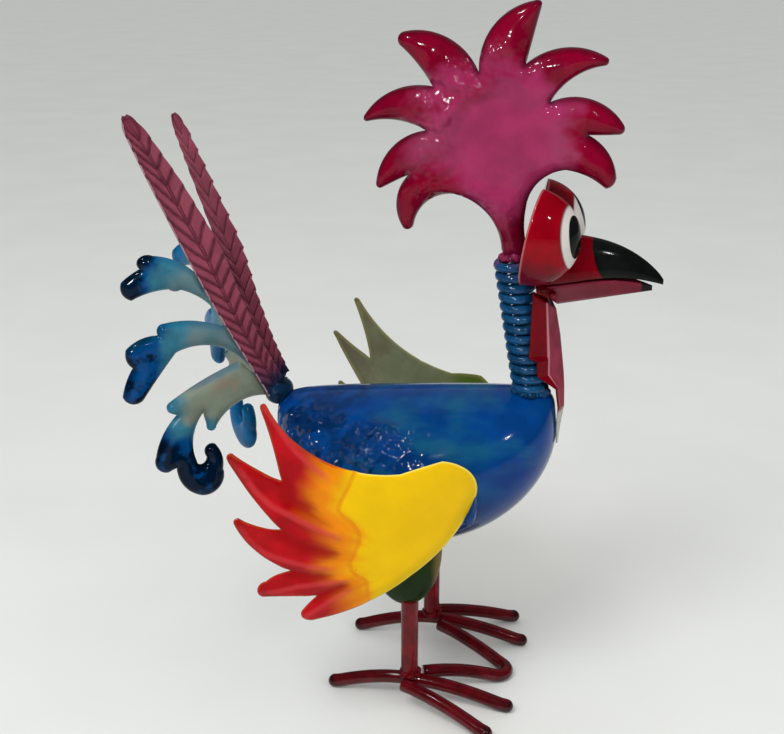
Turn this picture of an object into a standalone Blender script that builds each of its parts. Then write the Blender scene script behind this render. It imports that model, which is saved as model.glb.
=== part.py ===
"""A painted sheet-metal rooster, standing on its feet and facing +X, in metres.

Its right side is at -Y, and its left side mirrors it. The origin is on the ground, under the middle
of its length. A flat outline is a closed list of knots (x, z, bulge), as shares of the piece's own
size: the stretch from a knot to the next is an arc, and bulge is the tangent of a quarter of its
angle, so 0 is straight and 1 is half a circle.
"""

import math

import bmesh
import bpy
import numpy as np
from mathutils import Matrix, Vector
from mathutils.geometry import delaunay_2d_cdt

GAP = 0.0003
SHEET = 0.0012

# Body, in its own frame, which is turned nose up
BODY_LENGTH = 0.1968
BODY_WIDTH = 0.122
BODY_BACK_RISE = 0.0275
BODY_BELLY_DEPTH = 0.0825
BODY_MIDDLE = (0.0198, 0, 0.1949)
BODY_NOSE_UP = math.radians(4.9)
BACK_SQUARENESS = 8
BELLY_SQUARENESS = 1.88
PLAN_SQUARENESS = 2.2
BODY_RINGS = 20
BODY_SIDES = 20

# The body's ends, side and back, which the pieces around it are placed from
BREAST_X = BODY_MIDDLE[0] + BODY_LENGTH / 2
RUMP_X = BODY_MIDDLE[0] - BODY_LENGTH / 2
FLANK_Y = BODY_WIDTH / 2
BACK_Z = BODY_MIDDLE[2] + BODY_BACK_RISE

# Neck coil, from its foot on the body to its top under the head
WIRE_DIAMETER = 0.0062
COIL_DIAMETER = 0.026
COIL_TURNS = 12
COIL_TURN_POINTS = 8
NECK_SET_BACK = 0.0194
NECK_FOOT_RISE = 0.0121
NECK_LEAN = 0.0147
NECK_HEIGHT = 0.0835
NECK_FOOT = (BREAST_X - NECK_SET_BACK, 0, BACK_Z + NECK_FOOT_RISE)
NECK_TOP = (NECK_FOOT[0] - NECK_LEAN, 0, NECK_FOOT[2] + NECK_HEIGHT)
NECK_WELD_LENGTH = 0.012
NECK_WELD_SIDES = 20

# Crest
CREST_HEIGHT = 0.1620
CREST_THICKNESS = 0.018
CREST_ROUNDING = 0.014
CREST_MIDDLE_X = NECK_TOP[0] + 0.0009
CREST_CELL = 0.0094
CREST_FOOT_Z = NECK_TOP[2] + 0.0022
CREST_OUTLINE = [
    (-0.162, 0.732, 0.35), (-0.456, 0.880, 0.73), (-0.468, 0.820, -0.08), (-0.344, 0.672, 0.30),
    (-0.622, 0.550, 0.57), (-0.610, 0.526, -0.19), (-0.370, 0.499, 0.35), (-0.574, 0.278, 0.43),
    (-0.553, 0.259, -0.01), (-0.442, 0.316, 0.36), (-0.458, 0.098, 0.57), (-0.416, 0.116, -0.38),
    (-0.253, 0.248, -0.35), (-0.053, 0.032, 0), (-0.040, 0, 0), (0.040, 0, 0), (0.052, 0.039, -0.11),
    (0.041, 0.204, -0.36), (0.192, 0.362, -0.16), (0.350, 0.294, 0.37), (0.390, 0.339, 0.26),
    (0.274, 0.502, 0.03), (0.394, 0.507, 0.55), (0.407, 0.543, 0.38), (0.122, 0.625, -0.23),
    (0.319, 0.764, 0.76), (0.328, 0.797, 0.32), (0.021, 0.766, 0), (0.073, 0.980, 0.82),
    (0.042, 1, 0.38),
]

# Eye domes, whose round bases face back against the crest's stem
EYE_RADIUS = 0.0316
EYE_HALF_WIDTH = 0.022
EYE_SPACING = 0.035
EYE_BASE = (CREST_MIDDLE_X + 0.0129, CREST_FOOT_Z + 0.0182)
EYE_NOD = math.radians(10.6)
EYE_SPLAY = math.radians(7)
EYE_SIDES = 20
EYE_RINGS = 14

# Beak: each height and width fades along it by a power, down to what is left of it at the tip
BEAK_ROOT_X = EYE_BASE[0] + 0.0061
BEAK_LENGTH = 0.078
BEAK_FLOOR_Z = EYE_BASE[1] - 0.0318
BEAK_TIP_RISE = 0.0010
BEAK_FLOOR_ARCH = 0.0054
BEAK_ARCH_SKEW = 1.357
BEAK_HEIGHT = 0.0335
BEAK_HEIGHT_FADE = 0.57
BEAK_HEIGHT_LOSS = 0.985
BEAK_HALF_WIDTH = 0.0165
BEAK_WIDTH_FADE = 1.6
BEAK_WIDTH_LOSS = 0.94
BEAK_STATIONS = 11
BEAK_SIDES = 8
LOWER_BEAK_ROOT_X = BEAK_ROOT_X - 0.0026
LOWER_BEAK_LENGTH = 0.0738
LOWER_BEAK_END_SLANT = 0.0133
LOWER_BEAK_DEPTH = 0.0131
LOWER_BEAK_TIP_DEPTH = 0.0035
LOWER_BEAK_HALF_WIDTH = 0.0150
LOWER_BEAK_WIDTH_FADE = 1.7
LOWER_BEAK_WIDTH_LOSS = 0.92
LOWER_BEAK_DROOP = 0.0022
LOWER_BEAK_ROOT_DROP = 0.0015

# Wattle: rows down it of height above the body's back, then how far its front fold, its crease and
# its back edge are ahead of the breast. Its top edge rises from the fold to the back edge
WATTLE_CREASE_HALF_WIDTH = 0.0085
WATTLE_COIL_CLEARANCE = 0.0020
WATTLE_BACK_HALF_WIDTH = COIL_DIAMETER / 2 + WATTLE_COIL_CLEARANCE
WATTLE_ROWS = [
    (0.0642, -0.0039, -0.0089, -0.0180), (0.0466, -0.0004, -0.0070, -0.0186),
    (0.0336, 0.0013, -0.0060, -0.0190), (0.0316, 0.0016, -0.0060, -0.0134),
    (0.0206, 0.0030, -0.0058, -0.0126),
]
WATTLE_TOP_SLANT = (0.0144, 0.0060, 0)
WATTLE_TAIL_ROWS = [(0.0106, 0.0039), (-0.0034, 0.0044), (-0.0184, 0.0024), (-0.0299, 0.0014)]
WATTLE_TAIL_HALF_WIDTH = 0.0040
WATTLE_TAIL_FOLD = 0.0036
WATTLE_TAIL_LIP = 0.0004

# Wings: the plan and the form are in shares of the length, behind the shoulder and above the middle
WING_LENGTH = 0.15
WING_SHOULDER_X = BODY_MIDDLE[0] + 0.0532
WING_MIDDLE_Z = BODY_MIDDLE[2] - 0.0299
WING_SINK = 0.0061
WING_SPREAD = 1.0553
WING_BOW = -0.92
WING_SWEEP = 0.3727
WING_LEAN = 0.34
WING_TWIST = -0.492
WING_UNTWIST = 0.172
WING_CUP = -0.204
WING_CELL = 0.0158
WING_OUTLINE = [
    (-0.816, 0.558, 0.27), (-0.291, 0.239, -0.03), (-0.130, 0.273, -0.38), (-0.005, 0.053, -0.17),
    (-0.270, -0.313, -0.14), (-0.661, -0.484, -0.62), (-0.717, -0.427, -0.07), (-0.650, -0.350, 0.01),
    (-0.864, -0.327, -0.69), (-0.846, -0.248, -0.19), (-0.744, -0.203, -0.15), (-0.958, 0.046, -0.62),
    (-0.935, 0.069, 0.13), (-0.772, 0.006, -0.04), (-0.978, 0.337, -0.64), (-0.955, 0.358, 0.05),
    (-0.763, 0.234, 0.05), (-0.846, 0.548, -0.93),
]

WING_WELD_MIDDLE = (WING_SHOULDER_X - 0.0055, 0.0055 - FLANK_Y, WING_MIDDLE_Z - 0.0010)
WING_WELD_SIZE = (0.011, 0.013, 0.030)
WELD_BLOCK = 0.02

# Tail, whose places are measured from the back's rear end
TAIL_ROOT = (RUMP_X, 0, BACK_Z)
PLUME_BACK_EDGE = [
    (-0.0044, -0.0135, -0.0094), (-0.0204, -0.0170, 0.0206), (-0.0381, -0.0220, 0.0547),
    (-0.0537, -0.0270, 0.0898), (-0.0774, -0.0350, 0.1476), (-0.0902, -0.0390, 0.1806),
    (-0.0870, -0.0398, 0.1856),
]
PLUME_FRONT_EDGE = [
    (0.0041, -0.0080, 0.0036), (-0.0079, -0.0110, 0.0266), (-0.0204, -0.0145, 0.0586),
    (-0.0326, -0.0185, 0.0966), (-0.0559, -0.0245, 0.1421), (-0.0794, -0.0345, 0.1831),
    (-0.0822, -0.0385, 0.1868),
]
PLUME_FOLD = 0.0030
PLUME_MIDRIB = 0.55
PLUME_CLEARANCE = 0.03
PLUME_TEETH = 13
PLUME_TOOTH = 0.0014
LEFT_PLUME_LENGTH = 0.955
CURL_SIZE = 0.1
CURL_THICKNESS = 0.011
CURL_ROUNDING = 0.0085
CURL_CELL = 0.0069
COLLAR_MIDDLE = (RUMP_X - 0.0009, 0, BACK_Z - 0.0089)
COLLAR_SIZE = (0.021, 0.030, 0.021)
UPPER_CURL = [
    (0.009, -0.157, 0.16), (-0.223, 0.015, -0.31), (-0.304, 0.026, 0.12), (-0.557, -0.031, -0.47),
    (-0.617, 0.100, -0.07), (-0.489, 0.183, -0.51), (-0.483, 0.262, -0.28), (-0.396, 0.268, -0.19),
    (-0.095, 0.103, -0.05), (0.058, -0.100, -0.5),
]
MIDDLE_CURL = [
    (0.080, -0.225, 0.05), (0.036, -0.171, 0.32), (-0.437, -0.048, 0.02), (-0.680, -0.352, -0.59),
    (-0.822, -0.314, -0.10), (-0.739, -0.118, -0.32), (-0.777, 0.016, -0.22), (-0.553, 0.091, -0.61),
    (-0.500, 0.168, -0.16), (-0.080, 0.082, -0.10), (0.125, -0.160, -0.5),
]
MIDDLE_LEFT_DROOP = math.radians(11)
MIDDLE_LEFT_SWING = math.radians(11)
MIDDLE_CURL_ROOT = (RUMP_X - 0.0164, 0.012, BACK_Z + 0.0126)
LOWER_CURL = [
    (-0.009, -0.125, -0.05), (0.000, -0.030, 0), (-0.199, 0.162, 0.07), (-0.720, -0.037, 0.64),
    (-0.732, -0.115, 0), (-0.680, -0.140, 0.17), (-0.850, -0.421, 0.55), (-0.775, -0.544, 0),
    (-0.707, -0.522, 0.29), (-0.565, -0.764, 0.68), (-0.366, -0.603, 0.24), (-0.417, -0.407, 0.77),
    (-0.485, -0.490, -1.23), (-0.558, -0.504, -0.28), (-0.493, -0.154, 0), (-0.469, -0.259, 1.12),
    (-0.402, -0.274, -0.33),
]
# Each curl: its outline, the point that its plane turns on, and how far it splays
CURLS = {
    "upper": (UPPER_CURL, (-0.0414, -0.0155, 0.0676), math.radians(31)),
    "middle": (MIDDLE_CURL, (-0.0274, -0.0120, 0.0326), math.radians(38)),
    "lower": (LOWER_CURL, (-0.0074, -0.0085, 0.0026), math.radians(44)),
}

# Legs and feet: a toe's tip is given by how far it is ahead of its ankle and outside it
FOOT_SPREAD = 0.085
LEG_X = BODY_MIDDLE[0] + 0.0052
LEG_Y = FOOT_SPREAD / 2
LEG_DIAMETER = 0.0122
LEG_SEAT = 0.0035
THIGH_BOTTOM_Z = 0.0768
THIGH_SIZE = (0.052, 0.024, 0.092)
THIGH_X = LEG_X - 0.0035
TOE_DIAMETER = 0.0095
TOE_ARCH = 0.0122
TOE_DROOP = 1.8
TOE_FLAT = 0.0006
TOE_REST = 0.9
TOE_POINTS = 5
TOE_TIP_START = 0.975
TOE_TIP_TAPER = 0.55
BACK_TOE_TIP = (-0.0610, -0.0030)
MIDDLE_TOE_TIP = (0.0755, 0.0013)
OUTER_TOE_START = (-0.0025, TOE_DIAMETER + GAP)
OUTER_TOE_TIP = (0.0650, 0.0370)

# The loop's plan: its end beside an ankle, the knee of its arm, and the bend between its arms
LOOP_START = (LEG_X + 0.0085, LEG_Y - TOE_DIAMETER - 0.0004)
LOOP_SHOULDER = (LEG_X + 0.0350, LEG_Y - 0.0230)
LOOP_BEND_X = LEG_X + 0.0655
LOOP_BEND_RADIUS = 0.0090
LOOP_BEND_POINTS = 5
LOOP_ARM_POINTS = 3

CRIMSON = (0.110, 0.006, 0.014)
MAROON = (0.230, 0.030, 0.060)
RED = (0.300, 0.008, 0.020)
MAGENTA = (0.330, 0.030, 0.110)
COBALT = (0.004, 0.045, 0.200)
TEAL = (0.030, 0.170, 0.300)
YELLOW = (0.800, 0.420, 0.010)
GREEN = (0.020, 0.060, 0.010)


def gloss_paint(name, colour):
    """A glossy enamel on metal, one material for each piece."""
    material = bpy.data.materials.new(name)
    material.use_nodes = True
    shader = material.node_tree.nodes["Principled BSDF"]
    shader.inputs["Base Color"].default_value = (*colour, 1)
    shader.inputs["Metallic"].default_value = 0
    shader.inputs["Roughness"].default_value = 0.2
    return material


def linked(name, data, colour):
    """A new object in the rooster's collection, with a paint of its own."""
    piece = bpy.data.objects.new(name, data)
    bpy.data.collections["rooster"].objects.link(piece)
    data.materials.append(gloss_paint(name, colour))
    return piece


def from_bmesh(name, shape, colour):
    mesh = bpy.data.meshes.new(name)
    shape.to_mesh(mesh)
    shape.free()
    mesh.shade_smooth()
    mesh.set_sharp_from_angle(angle=math.radians(40))
    return linked(name, mesh, colour)


def plain_mesh(piece):
    """The piece as one welded mesh, with its modifiers applied and its place in its points."""
    graph = bpy.context.evaluated_depsgraph_get()
    mesh = bpy.data.meshes.new_from_object(piece.evaluated_get(graph))
    mesh.transform(piece.matrix_world)
    shape = bmesh.new()
    shape.from_mesh(mesh)
    bmesh.ops.remove_doubles(shape, verts=shape.verts, dist=0.00001)
    bmesh.ops.recalc_face_normals(shape, faces=shape.faces)
    shape.to_mesh(mesh)
    shape.free()
    return mesh


def solidified(piece):
    """Replaces a curve, or a piece with modifiers, by a plain mesh piece of the same name."""
    name, mesh, old = piece.name, plain_mesh(piece), piece.data
    paint = old.materials[0]
    bpy.data.objects.remove(piece)
    mesh.name = name
    mesh.materials.clear()
    mesh.materials.append(paint)
    fresh = bpy.data.objects.new(name, mesh)
    bpy.data.collections["rooster"].objects.link(fresh)
    return fresh


def mirrored(piece, name):
    """The left piece, made from the right one."""
    mesh = piece.data.copy()
    mesh.transform(Matrix.Scale(-1, 4, (0, 1, 0)))
    mesh.flip_normals()
    mesh.materials.clear()
    left = linked(name, mesh, (0, 0, 0))
    shader = left.data.materials[0].node_tree.nodes["Principled BSDF"]
    source = piece.data.materials[0].node_tree.nodes["Principled BSDF"]
    shader.inputs["Base Color"].default_value = source.inputs["Base Color"].default_value[:]
    for modifier in piece.modifiers:
        if modifier.type == "SOLIDIFY":
            thicken(left, modifier.thickness)
        else:
            fitted_round(left, modifier.object)
    return left


def thicken(piece, thickness):
    wall = piece.modifiers.new("wall", "SOLIDIFY")
    wall.thickness = thickness
    wall.offset = -1


def fitted_round(piece, cutter):
    """Cuts the piece back from a neighbour, whose cutter is larger than it by the gap."""
    cut = piece.modifiers.new("seat", "BOOLEAN")
    cut.operation = "DIFFERENCE"
    cut.object = cutter


def cutter_of(piece, grow=GAP):
    """A copy of a piece, larger by the gap, for its neighbours to be cut back from."""
    mesh = plain_mesh(piece)
    shape = bmesh.new()
    shape.from_mesh(mesh)
    shape.normal_update()
    moves = [(vertex, vertex.normal.copy()) for vertex in shape.verts]
    for vertex, normal in moves:
        vertex.co += normal * grow
    return linked_cutter(piece.name + "_cutter", shape)


def linked_cutter(name, shape):
    mesh = bpy.data.meshes.new(name)
    shape.to_mesh(mesh)
    shape.free()
    cutter = bpy.data.objects.new(name, mesh)
    bpy.data.collections["cutters"].objects.link(cutter)
    cutter.hide_render = True
    cutter.display_type = "WIRE"
    return cutter


def arc(start, end, bulge, step):
    """Points from start up to, and not including, end."""
    start, end = Vector(start), Vector(end)
    chord = end - start
    if abs(bulge) < 0.005:
        count = max(1, round(chord.length / step))
        return [start.lerp(end, i / count) for i in range(count)]
    angle = 4 * math.atan(bulge)
    radius = chord.length / (2 * math.sin(angle / 2))
    centre = (start + end) / 2 + Vector((-chord.y, chord.x)).normalized() * radius * math.cos(angle / 2)
    count = max(2, round(abs(radius * angle) / step))
    return [centre + Matrix.Rotation(angle * i / count, 2) @ (start - centre) for i in range(count)]


def traced(knots, size, step):
    """The outline's points, anticlockwise, at the piece's real size."""
    points = []
    for (x, z, bulge), (next_x, next_z, _) in zip(knots, knots[1:] + knots[:1]):
        points += arc((x * size, z * size), (next_x * size, next_z * size), bulge, step)
    points = np.array([point[:] for point in points])
    x, z = points.T
    turn = np.sum(x * np.roll(z, -1) - z * np.roll(x, -1))
    return points if turn > 0 else points[::-1]


def rim_distance(points, rim):
    """How far each point is from the outline, negative outside it."""
    start, end = rim[None], np.roll(rim, -1, 0)[None]
    along = end - start
    offset = points[:, None] - start
    share = np.clip((offset * along).sum(-1) / (along**2).sum(-1), 0, 1)
    distance = np.linalg.norm(offset - share[..., None] * along, axis=-1).min(1)
    above = (start[..., 1] > points[:, None, 1]) != (end[..., 1] > points[:, None, 1])
    rise = np.where(along[..., 1] == 0, 1, along[..., 1])
    crossing = start[..., 0] + (points[:, None, 1] - start[..., 1]) * along[..., 0] / rise
    inside = (above & (points[:, None, 0] < crossing)).sum(1) % 2 == 1
    return np.where(inside, distance, -distance)


def filled(rim, cell):
    """The outline filled with triangles on a grid of inner points: points, faces and rim distances."""
    low, high = rim.min(0), rim.max(0)
    rows = np.arange(low[1] + cell / 2, high[1], cell * math.sqrt(3) / 2)
    grid = [
        (x, z)
        for row, z in enumerate(rows)
        for x in np.arange(low[0] + cell / 2 * (1 + row % 2), high[0], cell)
    ]
    grid = np.array(grid)
    points = np.array([*rim, *grid[rim_distance(grid, rim) > cell * 0.55]])
    chords = True
    while chords:
        vectors = [Vector(point) for point in points]
        _, _, faces, *_ = delaunay_2d_cdt(vectors, [], [list(range(len(rim)))], 1, 1e-7)
        chords = chord_middles(points, faces, len(rim))
        points = np.array([*points, *chords])
    depth = rim_distance(points, rim)
    depth[: len(rim)] = 0
    return points, faces, depth


def chord_middles(points, faces, rim_count):
    """The middles of inner edges that join two rim points, where a puffed form would have no height."""
    sides = [tuple(sorted(pair)) for face in faces for pair in zip(face, [*face[1:], face[0]])]
    inner = {pair for pair in sides if sides.count(pair) == 2 and pair[1] < rim_count}
    return [(points[a] + points[b]) / 2 for a, b in sorted(inner)]


def puffed(name, knots, size, place, thickness, rounding, cell, colour):
    """A closed form with a rounded rim and the same bulge on both faces."""
    points, faces, depth = filled(traced(knots, size, cell * 0.8), cell)
    share = np.clip(depth / rounding, 0, 1)
    height = thickness / 2 * np.sqrt(1 - (1 - share) ** 2)
    shape = bmesh.new()
    front = [shape.verts.new((*point, high)) for point, high in zip(points, height)]
    back = [
        vertex if high == 0 else shape.verts.new((*point, -high))
        for vertex, point, high in zip(front, points, height)
    ]
    for face in faces:
        shape.faces.new([front[i] for i in face])
        shape.faces.new([back[i] for i in reversed(face)])
    shape.transform(place)
    return from_bmesh(name, shape, colour)


def upright_plane(x, y, z, yaw):
    """A frame whose first axis is level, whose second is up, and whose third faces the right side."""
    along = Vector((math.cos(yaw), math.sin(yaw), 0))
    up = Vector((0, 0, 1))
    frame = Matrix((along, up, along.cross(up))).transposed().to_4x4()
    return Matrix.Translation((x, y, z)) @ frame


def rod(name, points, diameter, colour, radii=None):
    curve = bpy.data.curves.new(name, "CURVE")
    curve.dimensions = "3D"
    curve.bevel_depth = diameter / 2
    curve.bevel_resolution = 2
    curve.use_fill_caps = True
    spline = curve.splines.new("POLY")
    spline.points.add(len(points) - 1)
    for i, (knot, point) in enumerate(zip(spline.points, points)):
        knot.co = (*point, 1)
        knot.radius = radii[i] if radii else 1
    return linked(name, curve, colour)


def closed_loft(rings):
    """A closed form through rings that have the same number of points, capped at both ends."""
    shape = bmesh.new()
    rings = [[shape.verts.new(point) for point in ring] for ring in rings]
    for ring, following in zip(rings, rings[1:]):
        for i in range(len(ring)):
            j = (i + 1) % len(ring)
            shape.faces.new((ring[i], ring[j], following[j], following[i]))
    shape.faces.new(rings[0])
    shape.faces.new(rings[-1])
    bmesh.ops.recalc_face_normals(shape, faces=shape.faces)
    bmesh.ops.triangulate(shape, faces=[face for face in shape.faces if len(face.verts) > 4])
    return shape


def sheet(name, rows, colour, thickness=SHEET):
    """A folded sheet through rows of points, its wall laid inside the given face."""
    shape = bmesh.new()
    rows = [[shape.verts.new(point) for point in row] for row in rows]
    for row, following in zip(rows, rows[1:]):
        for i in range(len(row) - 1):
            shape.faces.new((row[i], following[i], following[i + 1], row[i + 1]))
    piece = from_bmesh(name, shape, colour)
    thicken(piece, thickness)
    return piece


def body():
    shape = bmesh.new()
    bmesh.ops.create_uvsphere(shape, u_segments=BODY_SIDES, v_segments=BODY_RINGS, radius=1)
    for vertex in shape.verts:
        across, high, along = vertex.co
        reach = min(abs(along), 1)
        turn = math.atan2(across, high)
        back = BODY_BACK_RISE * (1 - reach**BACK_SQUARENESS) ** (1 / BACK_SQUARENESS)
        belly = BODY_BELLY_DEPTH * (1 - reach**BELLY_SQUARENESS) ** (1 / BELLY_SQUARENESS)
        width = BODY_WIDTH / 2 * (1 - reach**PLAN_SQUARENESS) ** (1 / PLAN_SQUARENESS)
        middle, half_height = (back - belly) / 2, (back + belly) / 2
        vertex.co = (
            along * BODY_LENGTH / 2,
            width * math.sin(turn),
            middle + half_height * math.cos(turn),
        )
    shape.transform(Matrix.Translation(BODY_MIDDLE) @ Matrix.Rotation(-BODY_NOSE_UP, 4, "Y"))
    bmesh.ops.recalc_face_normals(shape, faces=shape.faces)
    return from_bmesh("body", shape, COBALT)


def neck_coil():
    foot, top = Vector(NECK_FOOT), Vector(NECK_TOP)
    axis = (top - foot).normalized()
    side = Vector((0, 1, 0))
    front = side.cross(axis)
    radius = (COIL_DIAMETER - WIRE_DIAMETER) / 2
    count = COIL_TURNS * COIL_TURN_POINTS
    points = []
    for i in range(count + 1):
        turn = math.tau * i / COIL_TURN_POINTS + math.pi
        centre = foot.lerp(top, i / count)
        points.append(centre + radius * (math.cos(turn) * front + math.sin(turn) * side))
    return rod("neck_coil", points, WIRE_DIAMETER, COBALT)


def neck_weld():
    """The plug of weld metal inside the coil's top, under the crest's stem."""
    flats = (COIL_DIAMETER - WIRE_DIAMETER) / 2 * math.cos(math.pi / COIL_TURN_POINTS)
    plug = neck_cylinder(flats - WIRE_DIAMETER / 2 - GAP, -NECK_WELD_LENGTH, NECK_WELD_LENGTH)
    cut_flat(plug, (0, 0, CREST_FOOT_Z - GAP), (0, 0, 1))
    return from_bmesh("neck_weld", plug, COBALT)


def neck_cylinder(radius, start, end):
    """A cylinder along the coil's axis, between two distances above its top."""
    foot, top = Vector(NECK_FOOT), Vector(NECK_TOP)
    axis = (top - foot).normalized()
    shape = bmesh.new()
    bmesh.ops.create_cone(
        shape, cap_ends=True, segments=NECK_WELD_SIDES, radius1=radius, radius2=radius, depth=end - start
    )
    turn = Vector((0, 0, 1)).rotation_difference(axis).to_matrix().to_4x4()
    shape.transform(Matrix.Translation(top + axis * (start + end) / 2) @ turn)
    return shape


def crest():
    place = upright_plane(CREST_MIDDLE_X, 0, CREST_FOOT_Z, 0)
    return puffed("crest", CREST_OUTLINE, CREST_HEIGHT, place, CREST_THICKNESS, CREST_ROUNDING,
                  CREST_CELL, MAGENTA)


def eye_dome(coil_cutter):
    shape = bmesh.new()
    bmesh.ops.create_uvsphere(shape, u_segments=EYE_SIDES, v_segments=EYE_RINGS, radius=1)
    shape.transform(Matrix.Diagonal((EYE_HALF_WIDTH, EYE_RADIUS, EYE_RADIUS, 1)))
    cut_flat(shape, (0, 0, 0), (0, 0, -1))
    frame = Matrix(((0, 0, 1), (1, 0, 0), (0, 1, 0))).to_4x4()
    place = Matrix.Translation((EYE_BASE[0], -EYE_SPACING / 2, EYE_BASE[1]))
    turn = Matrix.Rotation(EYE_NOD, 4, "Y") @ Matrix.Rotation(-EYE_SPLAY, 4, "Z")
    shape.transform(place @ turn @ frame)
    cut_flat(shape, (0, -GAP / 2, 0), (0, 1, 0))
    piece = from_bmesh("eye_dome_right", shape, RED)
    fitted_round(piece, coil_cutter)
    return piece


def cut_flat(shape, point, outward):
    """Takes off what lies beyond a plane, and closes the cut."""
    everything = shape.verts[:] + shape.edges[:] + shape.faces[:]
    cut = bmesh.ops.bisect_plane(
        shape, geom=everything, dist=1e-7, plane_co=point, plane_no=outward, clear_outer=True
    )
    edges = [item for item in cut["geom_cut"] if isinstance(item, bmesh.types.BMEdge)]
    bmesh.ops.edgeloop_fill(shape, edges=edges)
    bmesh.ops.recalc_face_normals(shape, faces=shape.faces)


def beak_floor(x):
    """Height of the upper beak's underside, which is arched along its length."""
    share = min(max((x - BEAK_ROOT_X) / BEAK_LENGTH, 0), 1)
    arch = BEAK_FLOOR_ARCH * math.sin(math.pi * share**BEAK_ARCH_SKEW)
    return BEAK_FLOOR_Z + BEAK_TIP_RISE * share + arch


def upper_beak():
    """Round above and flat below, from the eyes to a hooked tip."""
    rings = []
    for i in range(BEAK_STATIONS + 1):
        share = math.sin(math.pi / 2 * i / BEAK_STATIONS)
        x = BEAK_ROOT_X + BEAK_LENGTH * share
        high = BEAK_HEIGHT * (1 - BEAK_HEIGHT_LOSS * share) ** BEAK_HEIGHT_FADE
        wide = BEAK_HALF_WIDTH * (1 - BEAK_WIDTH_LOSS * share**BEAK_WIDTH_FADE)
        floor = beak_floor(x)
        ring = [(x, wide, floor), (x, 0, floor), (x, -wide, floor)]
        for side in range(1, BEAK_SIDES):
            turn = math.pi * side / BEAK_SIDES
            ring.append((x, -wide * math.cos(turn), floor + high * math.sin(turn)))
        rings.append(ring)
    return from_bmesh("upper_beak", closed_loft(rings), RED)


def lower_beak():
    """A folded sheet, open above, with a slanted end and its keel on the middle plane."""
    rows = []
    count = BEAK_STATIONS - 2
    for i in range(count + 1):
        share = i / count
        x = LOWER_BEAK_ROOT_X + LOWER_BEAK_LENGTH * share
        wide = LOWER_BEAK_HALF_WIDTH * (1 - LOWER_BEAK_WIDTH_LOSS * share**LOWER_BEAK_WIDTH_FADE)
        root_drop = LOWER_BEAK_ROOT_DROP * (1 - share) ** 6
        rim = beak_floor(x) - SHEET - LOWER_BEAK_DROOP * share - root_drop
        keel = BEAK_FLOOR_Z - LOWER_BEAK_TIP_DEPTH - LOWER_BEAK_DEPTH * (1 - share)
        keel_x = x + LOWER_BEAK_END_SLANT * (1 - share)
        rows.append([(x, wide, rim), (keel_x, 0, keel), (x, -wide, rim)])
    return sheet("lower_beak", rows, MAROON)


def wattle():
    """A folded sheet that hangs in front of the neck and narrows to a tongue on the chest."""
    halves = []
    for up, front, crease, back in WATTLE_ROWS:
        flap = [(back, -WATTLE_BACK_HALF_WIDTH), (crease, -WATTLE_CREASE_HALF_WIDTH)]
        halves.append((up, [*flap, (front, 0)]))
    count = len(WATTLE_TAIL_ROWS)
    narrowing = WATTLE_CREASE_HALF_WIDTH - WATTLE_TAIL_HALF_WIDTH
    for i, (up, front) in enumerate(WATTLE_TAIL_ROWS):
        half = WATTLE_CREASE_HALF_WIDTH - narrowing * (i + 1) / count
        fold = WATTLE_TAIL_FOLD * (1 - i / (count - 1))
        flap = [(front - 1.2 * fold, -half - WATTLE_TAIL_LIP), (front - fold, -0.8 * half)]
        halves.append((up, [*flap, (front, 0)]))
    rows = []
    for i, (up, half) in enumerate(halves):
        rises = WATTLE_TOP_SLANT if i == 0 else (0, 0, 0)
        right = [(BREAST_X + ahead, y, BACK_Z + up + rise) for (ahead, y), rise in zip(half, rises)]
        rows.append([*right, *[(x, -y, z) for x, y, z in reversed(right[:-1])]])
    return sheet("wattle", rows, RED)


def wing_reach(x, z):
    """How far the wing's outer face stands from the middle plane, in metres."""
    back = (WING_SHOULDER_X - x) / WING_LENGTH
    up = (z - WING_MIDDLE_Z) / WING_LENGTH
    spread = WING_SPREAD * back + WING_BOW * back**2 + WING_SWEEP * back**3
    tilt = WING_LEAN + WING_TWIST * back + WING_UNTWIST * back**2
    return FLANK_Y - WING_SINK + WING_LENGTH * (spread + tilt * up + WING_CUP * up**2)


def wing():
    points, faces, _ = filled(traced(WING_OUTLINE, WING_LENGTH, WING_CELL * 0.7), WING_CELL)
    shape = bmesh.new()
    vertices = []
    for along, up in points:
        x, z = WING_SHOULDER_X + along, WING_MIDDLE_Z + up
        vertices.append(shape.verts.new((x, -wing_reach(x, z), z)))
    for face in faces:
        shape.faces.new([vertices[i] for i in face])
    piece = from_bmesh("wing_right", shape, YELLOW)
    thicken(piece, SHEET)
    return piece


def wing_weld(right_wing, body_cutter):
    """The bead that joins the wing's front rim to the body."""
    block = right_wing.data.copy()
    outside = bpy.data.objects.new("wing_cutter", block)
    bpy.data.collections["cutters"].objects.link(outside)
    outside.hide_render = True
    outside.display_type = "WIRE"
    thicken(outside, WELD_BLOCK)
    outside.modifiers["wall"].offset = 1 - 2 * (SHEET + GAP) / WELD_BLOCK
    shape = bmesh.new()
    bmesh.ops.create_icosphere(shape, subdivisions=2, radius=0.5)
    shape.transform(Matrix.Translation(WING_WELD_MIDDLE) @ Matrix.Diagonal((*WING_WELD_SIZE, 1)))
    piece = from_bmesh("wing_weld_right", shape, COBALT)
    fitted_round(piece, body_cutter)
    fitted_round(piece, outside)
    return solidified(piece)


def plume_section(share):
    """The right plume's back edge, midrib and front edge at a share of its length."""
    stations = np.linspace(0, 1, len(PLUME_BACK_EDGE))
    back, front = [
        Vector([np.interp(share, stations, values) for values in zip(*edge)]) + Vector(TAIL_ROOT)
        for edge in (PLUME_BACK_EDGE, PLUME_FRONT_EDGE)
    ]
    fold = Vector((0, PLUME_FOLD * (1 - share), 0))
    return back, back.lerp(front, PLUME_MIDRIB) + fold, front


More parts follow.
